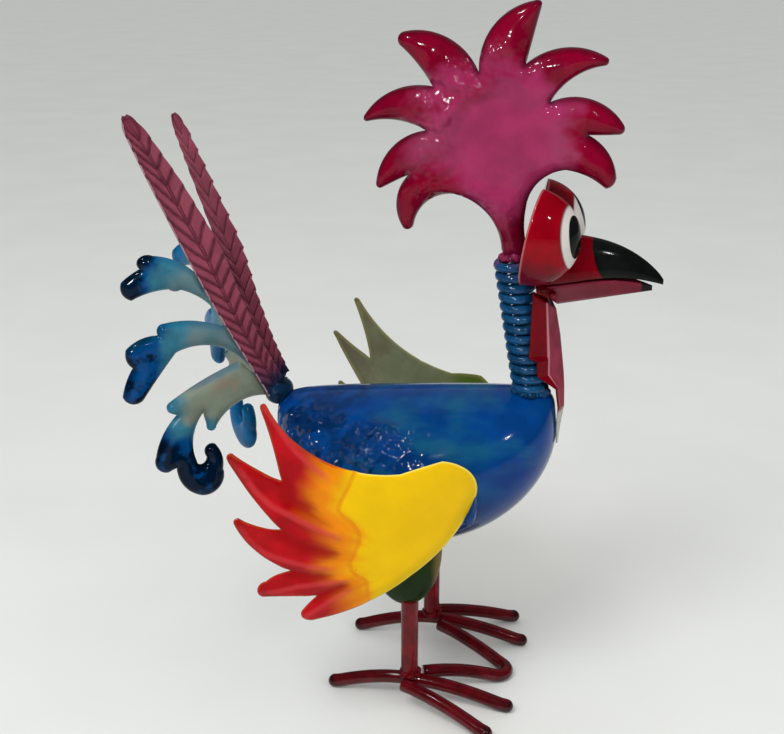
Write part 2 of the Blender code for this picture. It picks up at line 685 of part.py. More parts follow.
def plume(name, side, length):
    """A long leaf with a folded midrib and toothed edges, grown to a share of its length."""
    root = Vector(TAIL_ROOT)
    rows = []
    for i in range(2 * PLUME_TEETH + 1):
        back, midrib, front = plume_section(i / (2 * PLUME_TEETH))
        tooth = (front - back).normalized() * PLUME_TOOTH * (i % 2)
        spots = [root + (spot - root) * length for spot in (back - tooth, midrib, front + tooth)]
        rows.append([(x, -side * y, z) for x, y, z in spots])
    return sheet(name, rows, MAROON)


def plume_block():
    """All that lies outside the right plume's inner face, to cut the curls' roots back from it."""
    inward = Vector((0, 2 * SHEET, 0))
    outward = Vector((0, -PLUME_CLEARANCE, 0))
    rings = []
    for share in np.linspace(0, 1, 2 * len(PLUME_BACK_EDGE) - 1):
        back, midrib, front = plume_section(share)
        across = (front - back).normalized()
        back = back - across * (PLUME_TOOTH + SHEET)
        front = front + across * PLUME_CLEARANCE / 2
        rings.append([back + inward, midrib + inward, front + inward, front + outward, back + outward])
    down = (rings[0][0] - rings[1][0]).normalized() * PLUME_CLEARANCE
    rings.insert(0, [point + down for point in rings[0]])
    return linked_cutter("plume_cutter", closed_loft(rings))


def curl(name, outline, middle, splay, cutters):
    place = Matrix.Translation(TAIL_ROOT) @ upright_plane(*middle, splay)
    piece = puffed(f"{name}_curl_right", outline, CURL_SIZE, place, CURL_THICKNESS, CURL_ROUNDING,
                   CURL_CELL, TEAL)
    for cutter in cutters:
        fitted_round(piece, cutter)
    return solidified(piece)


def collar(body_cutter):
    """The lump of weld metal that holds the tail."""
    shape = bmesh.new()
    bmesh.ops.create_icosphere(shape, subdivisions=2, radius=0.5)
    shape.transform(Matrix.Translation(COLLAR_MIDDLE) @ Matrix.Diagonal((*COLLAR_SIZE, 1)))
    piece = from_bmesh("tail_collar", shape, COBALT)
    fitted_round(piece, body_cutter)
    return piece


def thigh(body_cutter):
    shape = bmesh.new()
    bmesh.ops.create_uvsphere(shape, u_segments=14, v_segments=10, radius=0.5)
    middle = (THIGH_X, -LEG_Y, THIGH_BOTTOM_Z + THIGH_SIZE[2] / 2)
    shape.transform(Matrix.Translation(middle) @ Matrix.Diagonal((*THIGH_SIZE, 1)))
    piece = from_bmesh("thigh_right", shape, GREEN)
    fitted_round(piece, body_cutter)
    return piece


def toe_axis_z(share):
    """Height of a toe's centre line, from 0 at the ankle to 1 at the tip, with its end level."""
    return TOE_DIAMETER / 2 - TOE_FLAT + TOE_ARCH * (1 - min(1, share / TOE_REST) ** TOE_DROOP)


def ankle_z():
    return toe_axis_z(0) + TOE_DIAMETER / 2 + GAP


def leg(side, name):
    y = side * LEG_Y
    points = [(LEG_X, y, ankle_z()), (LEG_X, y, THIGH_BOTTOM_Z + LEG_SEAT)]
    return rod(name, points, LEG_DIAMETER, CRIMSON)


def toe(name, points, tips):
    """A round rod with rounded tips, ground flat where it stands on the ground."""
    radii = [1.0] * len(points)
    for end in tips:
        radii[end] = TOE_TIP_TAPER
    piece = solidified(rod(name, points, TOE_DIAMETER, CRIMSON, radii))
    shape = bmesh.new()
    shape.from_mesh(piece.data)
    cut_flat(shape, (0, 0, 0), (0, 0, -1))
    shape.to_mesh(piece.data)
    shape.free()
    return piece


def toe_run(start, tip, side):
    """Points between two places in the plan of a foot, with two close together at the rounded tip."""
    ankle, start, tip = Vector((LEG_X, LEG_Y)), Vector(start), Vector(tip)
    shares = [TOE_REST * i / TOE_POINTS for i in range(TOE_POINTS + 1)] + [TOE_TIP_START, 1]
    plan = [(ankle + start.lerp(tip, share), share) for share in shares]
    return [(spot.x, side * spot.y, toe_axis_z(share)) for spot, share in plan]


def toes(side, suffix):
    back = toe_run((0, 0), BACK_TOE_TIP, side)
    middle = toe_run((0, 0), MIDDLE_TOE_TIP, side)
    toe(f"long_toe_{suffix}", back[:0:-1] + middle, (0, -1))
    toe(f"outer_toe_{suffix}", toe_run(OUTER_TOE_START, OUTER_TOE_TIP, side), (-1,))


def toe_loop():
    """One rod, bent into a V, that is the inner toe of both feet."""
    arm = [LOOP_START, LOOP_SHOULDER]
    slope = math.atan2(LOOP_SHOULDER[1] - LOOP_BEND_RADIUS, LOOP_BEND_X - LOOP_SHOULDER[0])
    bend_x = LOOP_BEND_X - LOOP_BEND_RADIUS
    quarter = [
        (bend_x + LOOP_BEND_RADIUS * math.cos(turn), LOOP_BEND_RADIUS * math.sin(turn))
        for turn in np.linspace(math.pi / 2 - slope, 0, LOOP_BEND_POINTS)
    ]
    plan = []
    for (x, y), (next_x, next_y) in zip(arm, [LOOP_SHOULDER, quarter[0]]):
        steps = [i / LOOP_ARM_POINTS for i in range(LOOP_ARM_POINTS)]
        plan += [(x + (next_x - x) * step, y + (next_y - y) * step) for step in steps]
    plan += quarter
    reach = LOOP_BEND_X - LOOP_START[0]
    half = [(x, -y, toe_axis_z((x - LOOP_START[0]) / reach)) for x, y in plan]
    other = [(x, -y, z) for x, y, z in reversed(half[:-1])]
    return toe("toe_loop", half + other, ())


def clear_scene():
    for item in list(bpy.data.objects):
        bpy.data.objects.remove(item)
    for name in ("rooster", "cutters"):
        bpy.context.scene.collection.children.link(bpy.data.collections.new(name))


def coil_envelope():
    """A round cutter that the coil fits inside with a gap."""
    length = (Vector(NECK_TOP) - Vector(NECK_FOOT)).length
    shape = neck_cylinder(COIL_DIAMETER / 2 + GAP, -length, WIRE_DIAMETER)
    return linked_cutter("coil_cutter", shape)


def main():
    clear_scene()
    body_cutter = cutter_of(body())
    coil = solidified(neck_coil())
    fitted_round(coil, body_cutter)
    neck_weld()
    crest()
    eye = eye_dome(coil_envelope())
    eyes = [eye, mirrored(eye, "eye_dome_left")]
    bpy.context.view_layer.update()
    beak = upper_beak()
    for dome in eyes:
        fitted_round(beak, cutter_of(dome))
    lower_beak()
    wattle()
    right_wing = wing()
    mirrored(right_wing, "wing_left")
    bpy.context.view_layer.update()
    mirrored(wing_weld(right_wing, body_cutter), "wing_weld_left")
    tail_collar = collar(body_cutter)
    bpy.context.view_layer.update()
    collar_cutter = cutter_of(tail_collar)
    fitted_round(plume("plume_right", -1, 1), collar_cutter)
    fitted_round(plume("plume_left", 1, LEFT_PLUME_LENGTH), collar_cutter)
    cutters = (collar_cutter, plume_block())
    bpy.context.view_layer.update()
    for name, settings in CURLS.items():
        left = mirrored(curl(name, *settings, cutters), f"{name}_curl_left")
        if name == "middle":
            root = Matrix.Translation(MIDDLE_CURL_ROOT)
            swing = Matrix.Rotation(-MIDDLE_LEFT_SWING, 4, "Z")
            droop = Matrix.Rotation(-MIDDLE_LEFT_DROOP, 4, "Y")
            left.data.transform(root @ swing @ droop @ root.inverted())
    thighs = {"left": mirrored(thigh(body_cutter), "thigh_left")}
    thighs["right"] = bpy.data.objects["thigh_right"]
    bpy.context.view_layer.update()
    for side, suffix in ((-1, "right"), (1, "left")):
        shank = solidified(leg(side, f"leg_{suffix}"))
        fitted_round(shank, cutter_of(thighs[suffix]))
        toes(side, suffix)
    toe_loop()
    centre_on_length()


def centre_on_length():
    """Moves everything along X, so that the origin is under the middle of the length."""
    bpy.context.view_layer.update()
    graph = bpy.context.evaluated_depsgraph_get()
    ends = [
        (piece.matrix_world @ Vector(corner)).x
        for piece in (item.evaluated_get(graph) for item in bpy.data.collections["rooster"].objects)
        for corner in piece.bound_box
    ]
    shift = -(min(ends) + max(ends)) / 2
    for item in bpy.data.objects:
        item.location.x = shift


main()
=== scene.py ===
"""Dresses the painted sheet-metal rooster: enamel, embossed feathers, welds, and a studio to see it in.

Lengths are in metres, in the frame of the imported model: +X is the way the rooster faces, its right
side is at -Y, and the ground is at Z 0. Flat outlines are lists of (x, z, bulge), as shares of the
piece's own size, where bulge is the tangent of a quarter of the angle of the arc to the next point.
"""

import math
from collections import Counter

import bmesh
import bpy
import numpy as np
from bpy.props import FloatProperty, FloatVectorProperty, IntProperty, PointerProperty
from mathutils import Matrix, Vector
from mathutils.geometry import delaunay_2d_cdt


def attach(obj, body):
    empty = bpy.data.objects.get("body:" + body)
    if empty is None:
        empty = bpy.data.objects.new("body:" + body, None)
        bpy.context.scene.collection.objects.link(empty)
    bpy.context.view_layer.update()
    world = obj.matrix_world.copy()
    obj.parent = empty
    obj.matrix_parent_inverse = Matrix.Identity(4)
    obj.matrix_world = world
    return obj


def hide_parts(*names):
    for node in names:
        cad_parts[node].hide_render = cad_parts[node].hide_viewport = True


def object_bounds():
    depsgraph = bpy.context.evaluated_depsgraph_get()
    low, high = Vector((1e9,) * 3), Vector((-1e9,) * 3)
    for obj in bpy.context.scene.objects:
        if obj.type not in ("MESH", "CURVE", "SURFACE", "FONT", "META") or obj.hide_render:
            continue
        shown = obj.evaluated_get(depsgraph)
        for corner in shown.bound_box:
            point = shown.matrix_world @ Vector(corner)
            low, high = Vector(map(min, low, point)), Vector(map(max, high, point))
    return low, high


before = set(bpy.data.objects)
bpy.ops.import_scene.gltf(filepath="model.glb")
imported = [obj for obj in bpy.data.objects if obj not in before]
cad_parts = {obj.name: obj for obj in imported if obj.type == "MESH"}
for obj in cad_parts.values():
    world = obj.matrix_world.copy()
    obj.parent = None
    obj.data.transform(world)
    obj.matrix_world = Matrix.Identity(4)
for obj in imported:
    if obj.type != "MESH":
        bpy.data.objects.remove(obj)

bl_info = {
    "name": "Painted Metal Rooster",
    "version": (1, 0, 0),
    "blender": (4, 5, 0),
    "location": "3D View > Sidebar > Rooster",
    "description": "Builds the looks of a painted sheet-metal rooster around its packed model",
    "category": "Add Mesh",
}

CAD_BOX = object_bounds()
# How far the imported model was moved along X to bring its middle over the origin
CENTRING = -0.004196

BODY_MIDDLE = (0.0198, 0, 0.1949)
BODY_NOSE_UP = math.radians(4.9)
BACK_SQUARENESS, BELLY_SQUARENESS, PLAN_SQUARENESS = 8, 1.88, 2.2
NECK_FOOT = Vector((0.0988, 0, 0.2345))
NECK_TOP = Vector((0.0841, 0, 0.3180))
NECK_SUNK_TURNS = 0.6
CREST_FOOT = (0.085, 0, 0.3202)
EYE_BASE_X, EYE_BASE_Z = 0.0979, 0.3384
EYE_NOD, EYE_SPLAY = math.radians(10.6), math.radians(7)
BEAK_ROOT_X, BEAK_LENGTH, BEAK_FLOOR_Z = 0.104, 0.078, 0.3066
WING_SHOULDER_X, WING_MIDDLE_Z = 0.073, 0.165
LEG_X, ANKLE_X, LEG_TOP_Z = 0.025, 0.0255, 0.0815
THIGH_MIDDLE_X, THIGH_MIDDLE_Z, THIGH_SIZE = 0.0215, 0.1228, (0.052, 0.024, 0.092)
BACK_TOE_TIP, MIDDLE_TOE_TIP, OUTER_TOE_TIP = (-0.0360, 0.0395), (0.1005, 0.0438), (0.0900, 0.0795)
OUTER_TOE_START_X = 0.0225
LOOP_START, LOOP_SHOULDER = (0.0335, 0.0326), (0.0600, 0.0195)
LOOP_BEND_X, LOOP_BEND_RADIUS = 0.0905, 0.0090

CREST_OUTLINE = [
    (-0.162, 0.732, 0.35), (-0.456, 0.880, 0.73), (-0.468, 0.820, -0.08), (-0.344, 0.672, 0.30),
    (-0.622, 0.550, 0.57), (-0.610, 0.526, -0.19), (-0.370, 0.499, 0.35), (-0.574, 0.278, 0.43),
    (-0.553, 0.259, -0.01), (-0.442, 0.316, 0.36), (-0.458, 0.098, 0.57), (-0.416, 0.116, -0.38),
    (-0.253, 0.248, -0.35), (-0.053, 0.032, 0), (-0.040, 0, 0), (0.040, 0, 0), (0.052, 0.039, -0.11),
    (0.041, 0.204, -0.36), (0.192, 0.362, -0.16), (0.350, 0.294, 0.37), (0.390, 0.339, 0.26),
    (0.274, 0.502, 0.03), (0.394, 0.507, 0.55), (0.407, 0.543, 0.38), (0.122, 0.625, -0.23),
    (0.319, 0.764, 0.76), (0.328, 0.797, 0.32), (0.021, 0.766, 0), (0.073, 0.980, 0.82),
    (0.042, 1, 0.38),
]
WING_OUTLINE = [
    (-0.816, 0.558, 0.27), (-0.291, 0.239, -0.03), (-0.130, 0.273, -0.38), (-0.005, 0.053, -0.17),
    (-0.270, -0.313, -0.14), (-0.661, -0.484, -0.62), (-0.717, -0.427, -0.07), (-0.650, -0.350, 0.01),
    (-0.864, -0.327, -0.69), (-0.846, -0.248, -0.19), (-0.744, -0.203, -0.15), (-0.958, 0.046, -0.62),
    (-0.935, 0.069, 0.13), (-0.772, 0.006, -0.04), (-0.978, 0.337, -0.64), (-0.955, 0.358, 0.05),
    (-0.763, 0.234, 0.05), (-0.846, 0.548, -0.93),
]
FEATHER_RIDGES = [
    [(-0.818, 0.547), (-0.782, 0.497), (-0.740, 0.432), (-0.693, 0.368), (-0.625, 0.297), (-0.558, 0.233)],
    [(-0.955, 0.323), (-0.920, 0.285), (-0.860, 0.193), (-0.800, 0.128), (-0.685, 0.052), (-0.585, -0.012),
     (-0.525, -0.045)],
    [(-0.927, 0.028), (-0.903, -0.030), (-0.833, -0.102), (-0.730, -0.152), (-0.630, -0.187),
     (-0.535, -0.207)],
    [(-0.868, -0.305), (-0.790, -0.297), (-0.720, -0.280), (-0.608, -0.275), (-0.525, -0.267)],
    [(-0.698, -0.450), (-0.647, -0.417), (-0.588, -0.375), (-0.508, -0.330)],
]
FEATHER_VALLEYS = [
    [(-0.762, 0.238), (-0.725, 0.143), (-0.643, 0.093), (-0.555, 0.045)],
    [(-0.778, -0.002), (-0.725, -0.055), (-0.653, -0.095), (-0.558, -0.130)],
    [(-0.743, -0.202), (-0.660, -0.240), (-0.565, -0.242)],
    [(-0.653, -0.347), (-0.598, -0.325), (-0.528, -0.297)],
]
SCALLOP = [
    (-0.460, 0.285), (-0.475, 0.250), (-0.495, 0.198), (-0.518, 0.150), (-0.542, 0.095), (-0.535, 0.078),
    (-0.488, 0.030), (-0.460, -0.025), (-0.460, -0.080), (-0.483, -0.132), (-0.508, -0.187),
    (-0.495, -0.242), (-0.445, -0.292),
]
UPPER_CURL = [
    (0.009, -0.157, 0.16), (-0.223, 0.015, -0.31), (-0.304, 0.026, 0.12), (-0.557, -0.031, -0.47),
    (-0.617, 0.100, -0.07), (-0.489, 0.183, -0.51), (-0.483, 0.262, -0.28), (-0.396, 0.268, -0.19),
    (-0.095, 0.103, -0.05), (0.058, -0.100, -0.5),
]
MIDDLE_CURL = [
    (0.080, -0.225, 0.05), (0.036, -0.171, 0.32), (-0.437, -0.048, 0.02), (-0.680, -0.352, -0.59),
    (-0.822, -0.314, -0.10), (-0.739, -0.118, -0.32), (-0.777, 0.016, -0.22), (-0.553, 0.091, -0.61),
    (-0.500, 0.168, -0.16), (-0.080, 0.082, -0.10), (0.125, -0.160, -0.5),
]
LOWER_CURL = [
    (-0.009, -0.125, -0.05), (0.000, -0.030, 0), (-0.199, 0.162, 0.07), (-0.720, -0.037, 0.64),
    (-0.732, -0.115, 0), (-0.680, -0.140, 0.17), (-0.850, -0.421, 0.55), (-0.775, -0.544, 0),
    (-0.707, -0.522, 0.29), (-0.565, -0.764, 0.68), (-0.366, -0.603, 0.24), (-0.417, -0.407, 0.77),
    (-0.485, -0.490, -1.23), (-0.558, -0.504, -0.28), (-0.493, -0.154, 0), (-0.469, -0.259, 1.12),
    (-0.402, -0.274, -0.33),
]
# Each curl: its outline, the point its plane passes through, its splay, where its blue begins, as a
# distance from the root and a depth below it in shares of its size, the height under which painted shade
# makes it nearly black, and how strongly its root is blushed; a blush under a half also gives its root
# a darker teal, as painted shadow from the plume
CURLS = {
    "upper": (UPPER_CURL, (-0.120, -0.0155, 0.290), 31, (0.26, 0.60), (0.60, 0.90), 1.25, 0.3),
    "middle": (MIDDLE_CURL, (-0.106, -0.0120, 0.255), 38, (0.30, 0.72), (0.22, 0.40), 0.32, 0.3),
    "lower": (LOWER_CURL, (-0.086, -0.0085, 0.225), 44, (0.60, 0.88), (0.14, 0.42), 0.30, 1.0),
}
MIDDLE_LEFT_DROOP = MIDDLE_LEFT_SWING = math.radians(11)
MIDDLE_CURL_ROOT = (-0.0950, 0.0120, 0.2350)
TAIL_ROOT = (-0.0786, 0, 0.2224)
LEFT_PLUME_LENGTH = 0.955
PLUME_BACK_EDGE = [
    (-0.0830, -0.0135, 0.2130), (-0.0990, -0.0170, 0.2430), (-0.1167, -0.0220, 0.2771),
    (-0.1323, -0.0270, 0.3122), (-0.1560, -0.0350, 0.3700), (-0.1688, -0.0390, 0.4030),
    (-0.1656, -0.0398, 0.4080),
]
PLUME_FRONT_EDGE = [
    (-0.0745, -0.0080, 0.2260), (-0.0865, -0.0110, 0.2490), (-0.0990, -0.0145, 0.2810),
    (-0.1112, -0.0185, 0.3190), (-0.1345, -0.0245, 0.3645), (-0.1580, -0.0345, 0.4055),
    (-0.1608, -0.0385, 0.4092),
]
# How much less a rib leads at the plume's front edge than at its back edge
FRONT_SLANT = 0.79
# Rows down the wattle: height, and X of its front fold, crease and back edge
WATTLE_ROWS = [
    (0.2866, 0.1143, 0.1093, 0.1002), (0.2690, 0.1178, 0.1112, 0.0996), (0.2560, 0.1195, 0.1122, 0.0992),
    (0.2540, 0.1198, 0.1122, 0.1048), (0.2430, 0.1212, 0.1124, 0.1056),
]
WATTLE_TOP_SLANT = (0.0144, 0.0060, 0)
# Rows down its tail: height, and X of its front fold
WATTLE_TAIL_ROWS = [(0.2330, 0.1221), (0.2190, 0.1226), (0.2040, 0.1206), (0.1925, 0.1196)]
WATTLE_TOP_Z, WATTLE_HEIGHT = 0.2866, 0.0941
WATTLE_BACK_HALF_WIDTH, WATTLE_CREASE_HALF_WIDTH, WATTLE_TAIL_FOLD = 0.0150, 0.0085, 0.0036


def tint(red, green, blue):
    """A paint colour from its 0 to 255 values, as Blender's linear colour."""
    return tuple(
        (value / 255 / 12.92 if value < 11 else ((value / 255 + 0.055) / 1.055) ** 2.4)
        for value in (red, green, blue)
    )


def length(name, description, default):
    return FloatProperty(name=name, description=description, default=default, min=0, unit="LENGTH",
                         precision=4)


def colour(name, description, red, green, blue):
    return FloatVectorProperty(name=name, description=description, default=tint(red, green, blue),
                               subtype="COLOR", size=3, min=0, max=1)


class BodySettings(bpy.types.PropertyGroup):
    body_length: length("Length", "Body's length, breast to tail", 0.1968)
    body_width: length("Width", "Body's width between the wings", 0.122)
    back_rise: length("Back rise", "Height of the flat back above the body's middle", 0.0275)
    belly_depth: length("Belly depth", "Depth of the belly below the body's middle", 0.0825)
    dimple: length("Dimple depth", "Depth of the hammer marks at the rear", 0.0072)
    cobalt: colour("Cobalt", "The body's enamel", 2, 58, 122)
    # Painted reflection: the pale patches stand for the room mirrored in the upper front flank
    painted_reflection: colour("Pale patches", "Thinner enamel over the flank", 22, 88, 120)
    # The underside colour is painted shade, laid under the belly where shade falls; it also tints the darker
    # patches at the rear
    shade: colour("Underside", "Darker enamel under the belly", 0, 26, 56)


class NeckSettings(bpy.types.PropertyGroup):
    wire: length("Wire", "Diameter of the neck's wire", 0.0062)
    coil: length("Coil", "Outer diameter of the coil", 0.0260)
    turns: IntProperty(name="Turns", description="Turns of wire in the neck", default=12, min=1)
    blue: colour("Blue", "The coil's enamel", 14, 66, 106)


class CrestSettings(bpy.types.PropertyGroup):
    height: length("Height", "Crest's height above the neck", 0.162)
    thickness: length("Thickness", "Crest's thickness at its middle", 0.018)
    rounding: length("Rounding", "How far in from the rim the crest is rounded", 0.014)
    magenta: colour("Magenta", "Enamel of the crest's middle", 150, 43, 86)
    crimson: colour("Crimson", "Enamel of its points", 121, 0, 34)
    tip: colour("Tips", "Enamel at the ends of its points", 110, 4, 38)


class HeadSettings(bpy.types.PropertyGroup):
    eye_radius: length("Eye radius", "Radius of each eye dome", 0.0316)
    eye_half_width: length("Eye half width", "How far each eye dome stands to its side", 0.022)
    eye_spacing: length("Eye spacing", "Distance between the domes' middles", 0.035)
    sheet: length("Sheet", "Thickness of the lower beak and wattle", 0.0012)
    red: colour("Red", "Enamel of the lids", 138, 0, 18)
    beak_red: colour("Beak red", "Darker red of the beak and the wattle", 106, 0, 14)
    maroon: colour("Maroon", "Enamel of the lower beak", 134, 34, 58)
    white: colour("White", "White of the eyes", 200, 193, 188)
    black: colour("Black", "Enamel of the pupils and the beak's tip", 14, 17, 15)


class WingSettings(bpy.types.PropertyGroup):
    wing_length: length("Length", "Wing's length, shoulder to tip", 0.15)
    sheet: length("Sheet", "Thickness of the wing's sheet", 0.0012)
    ridge: length("Ridge", "Height of the ridge along each feather", 0.0016)
    groove: length("Groove", "Depth of the scalloped groove", 0.0009)
    yellow: colour("Yellow", "Enamel of the shoulder", 238, 190, 1)
    orange: colour("Orange", "Enamel between shoulder and feathers", 232, 134, 8)
    red: colour("Red", "Enamel of the feathers", 172, 10, 20)
    inside: colour("Inside", "Paint of the inner face", 116, 122, 92)


class TailSettings(bpy.types.PropertyGroup):
    sheet: length("Sheet", "Thickness of the plumes' sheet", 0.0012)
    ribs: IntProperty(name="Ribs", description="Pairs of ribs on each plume", default=19, min=1)
    slant: FloatProperty(name="Slant", description="How many ribs an edge is ahead of the midrib",
                         default=1.42, min=0)
    rib_height: length("Rib height", "Height of the ribs", 0.0020)
    rose: colour("Rose", "Matt paint of the plumes", 132, 60, 77)
    plume_foot: colour("Plume foot", "Paint at the foot of the plumes", 30, 32, 58)
    curl_size: length("Curl size", "The length that the curls' outlines are shares of", 0.1)
    curl_thickness: length("Curl thickness", "Thickness of the curls", 0.011)
    curl_rounding: length("Curl rounding", "How far in from its rim a curl is rounded", 0.0085)
    curl_root: colour("Curl root", "Paint of the curls near their roots", 122, 132, 116)
    curl_teal: colour("Curl teal", "Paint of the curls' middles", 50, 112, 134)
    curl_blue: colour("Curl blue", "Enamel of the curls' lobes", 0, 62, 116)
    # The nearly black colour is painted shade under the curls' lobes
    curl_shade: colour("Curl ends", "Nearly black enamel under the curls' ends", 0, 14, 30)


class LegSettings(bpy.types.PropertyGroup):
    spread: length("Spread", "Distance between the legs", 0.085)
    leg: length("Leg", "Diameter of the legs", 0.0122)
    toe: length("Toe", "Diameter of the toes", 0.0095)
    arch: length("Arch", "Rise of the toes at the ankle", 0.0122)
    crimson: colour("Crimson", "Enamel of the legs", 104, 8, 18)
    toe_crimson: colour("Toe crimson", "Darker enamel of the toes", 84, 7, 15)
    burnt: colour("Burnt tips", "Dark enamel at the toes' tips", 30, 8, 12)
    green: colour("Green", "Enamel of the thighs", 19, 40, 0)


class StudioSettings(bpy.types.PropertyGroup):
    floor: colour("Floor", "The plain pale floor", 239, 239, 234)
    key: FloatProperty(name="Key", description="Power of the key light", default=16, min=0, unit="POWER")
    glint: FloatProperty(name="Glint", description="Power of the small light", default=12, min=0,
                         unit="POWER")
    sky: FloatProperty(name="Sky", description="Strength of the even light", default=0.75, min=0)
    mirrored_sky: FloatProperty(name="Mirrored sky", description="Share of the even light that gloss mirrors",
                                default=0.10, min=0, max=1)


class Value:
    """A node's output, with arithmetic: each step adds a node to the same tree."""

    def __init__(self, nodes, socket):
        self.nodes, self.socket = nodes, socket

    def math(self, operation, other=0.0):
        return self.nodes.add("ShaderNodeMath", {0: self, 1: other}, operation=operation)

    def __add__(self, other):
        return self.math("ADD", other)

    def __sub__(self, other):
        return self.math("SUBTRACT", other)

    def __mul__(self, other):
        return self.math("MULTIPLY", other)

    def __abs__(self):
        return self.math("ABSOLUTE")

    def spread(self, low, high, to_low=0.0, to_high=1.0, kind="SMOOTHSTEP"):
        """The range from low to high, mapped to another range and kept inside it."""
        wanted = {"Value": self, "From Min": low, "From Max": high, "To Min": to_low, "To Max": to_high}
        return self.nodes.add("ShaderNodeMapRange", wanted, interpolation_type=kind)


class Nodes:
    """A node tree that is being wired."""

    def __init__(self, tree):
        self.tree = tree

    def feed(self, socket, value):
        if isinstance(value, Value):
            self.tree.links.new(value.socket, socket)
        else:
            socket.default_value = (*value, 1) if socket.type == "RGBA" else value

    def add(self, kind, inputs, output=0, **settings):
        node = self.tree.nodes.new(kind)
        for setting, value in settings.items():
            setattr(node, setting, value)
        for socket, value in inputs.items():
            self.feed(node.inputs[socket], value)
        return Value(self, node.outputs[output])


class Paint(Nodes):
    """The nodes of a painted surface, from a first colour through the coats over it to the finish."""

    def __init__(self, name, roughness, gloss):
        self.material = bpy.data.materials.new(name)
        self.material.use_nodes = True
        super().__init__(self.material.node_tree)
        self.shader = self.tree.nodes["Principled BSDF"].inputs
        self.shader["Roughness"].default_value = roughness
        self.shader["Specular IOR Level"].default_value = gloss
        self.place = self.add("ShaderNodeTexCoord", {}, "Object")

    def along(self, axis):
        return self.add("ShaderNodeSeparateXYZ", {"Vector": self.place}, axis)

    def kept(self, name):
        """A value that the piece's mesh keeps at each point."""
        return self.add("ShaderNodeAttribute", {}, "Fac", attribute_name=name)

    def noise(self, scale, detail=4, roughness=0.55, place=None):
        wanted = {"Vector": place or self.place, "Scale": scale, "Detail": detail, "Roughness": roughness}
        return self.add("ShaderNodeTexNoise", wanted)

    def shaky(self, scale, reach, detail=3):
        """A small length that wanders to either side of nothing, to make a painted edge ragged."""
        return self.noise(scale, detail).spread(0.3, 0.7, -reach, reach)

    def patchy(self, scale, low, high):
        """A roughness that wanders from low to high."""
        return self.noise(scale, 3).spread(0.3, 0.7, low, high)

    def oval(self, across, high, middle, size):
        """Distance from an oval's middle, which is 1 on its edge."""
        x, z = [
            (place - centre).math("DIVIDE", half).math("POWER", 2.0)
            for place, centre, half in zip((across, high), middle, size)
        ]
        return (x + z).math("SQRT")

    def blend(self, share, first, second):
        return self.add("ShaderNodeMix", {0: share, 6: first, 7: second}, 2, data_type="RGBA")

    def mottle(self, colour, amount, scale):
        """The colour with the soft lighter and darker clouds of brushed enamel."""
        cloud = self.noise(scale, 5).spread(0.35, 0.65)
        dark, light = [
            self.add("ShaderNodeHueSaturation", {"Color": colour, "Value": value})
            for value in (1 - amount, 1 + amount * 0.7)
        ]
        return self.blend(cloud, dark, light)

    def start(self, colour, amount, scale):
        self.base = self.mottle(colour, amount, scale)

    def coat(self, share, amount, colour):
        """Lays a colour over what is there, as strong as amount where share is 1."""
        self.base = self.blend(share * amount, self.base, colour)

    def bump(self, height, distance, strength=1.0, under=None):
        wanted = {"Height": height, "Distance": distance, "Strength": strength}
        return self.add("ShaderNodeBump", wanted | ({"Normal": under} if under else {}))

    def finish(self, relief=None, roughness=None):
        """Feeds the shader, with the fine skin and slow waves of dipped enamel under any relief."""
        self.feed(self.shader["Base Color"], self.base)
        skin = self.bump(self.noise(420, 2), 0.00008, 0.30, relief)
        self.feed(self.shader["Normal"], self.bump(self.noise(38, 2), 0.0008, 0.25, skin))
        if roughness:
            self.feed(self.shader["Roughness"], roughness)
        return self.material


def settings(group):
    return getattr(bpy.context.scene.rooster, group)


def arc(start, end, bulge, step):
    """Points from start up to, and not including, end."""
    start, end = Vector(start), Vector(end)
    chord = end - start
    if abs(bulge) < 0.005:
        count = max(1, round(chord.length / step))
        return [start.lerp(end, i / count) for i in range(count)]
    angle = 4 * math.atan(bulge)
    radius = chord.length / (2 * math.sin(angle / 2))
    centre = (start + end) / 2 + Vector((-chord.y, chord.x)).normalized() * radius * math.cos(angle / 2)
    count = max(2, round(abs(radius * angle) / step))
    return [centre + Matrix.Rotation(angle * i / count, 2) @ (start - centre) for i in range(count)]


def traced(knots, size, step):
    """The outline's points, anticlockwise, at the piece's real size."""
    points = []
    for (x, z, bulge), (next_x, next_z, _) in zip(knots, knots[1:] + knots[:1]):
        points += arc((x * size, z * size), (next_x * size, next_z * size), bulge, step)
    points = np.array([point[:] for point in points])
    x, z = points.T
    turn = np.sum(x * np.roll(z, -1) - z * np.roll(x, -1))
    return points if turn > 0 else points[::-1]


def line_distance(points, line, closed=False):
    """How far each point is from a line of straight stretches."""
    line = np.asarray(line, float)
    start, end = (line, np.roll(line, -1, 0)) if closed else (line[:-1], line[1:])
    along = (end - start)[None]
    offset = points[:, None] - start[None]
    share = np.clip((offset * along).sum(-1) / (along**2).sum(-1), 0, 1)
    return np.linalg.norm(offset - share[..., None] * along, axis=-1).min(1)


def inside(points, rim):
    """Which points the outline holds."""
    start, end = rim[None], np.roll(rim, -1, 0)[None]
    above = (start[..., 1] > points[:, None, 1]) != (end[..., 1] > points[:, None, 1])
    rise = np.where(end[..., 1] == start[..., 1], 1, end[..., 1] - start[..., 1])
    crossing = start[..., 0] + (points[:, None, 1] - start[..., 1]) * (end - start)[..., 0] / rise
    return (above & (points[:, None, 0] < crossing)).sum(1) % 2 == 1


def chord_middles(points, faces, rim_count):
    """The middles of inner edges between two rim points, where a puffed form would have no height."""
    sides = Counter(
        tuple(sorted(pair)) for face in faces for pair in zip(face, [*face[1:], face[0]])
    )
    chords = [pair for pair, uses in sorted(sides.items()) if uses == 2 and pair[1] < rim_count]
    return [(points[a] + points[b]) / 2 for a, b in chords]


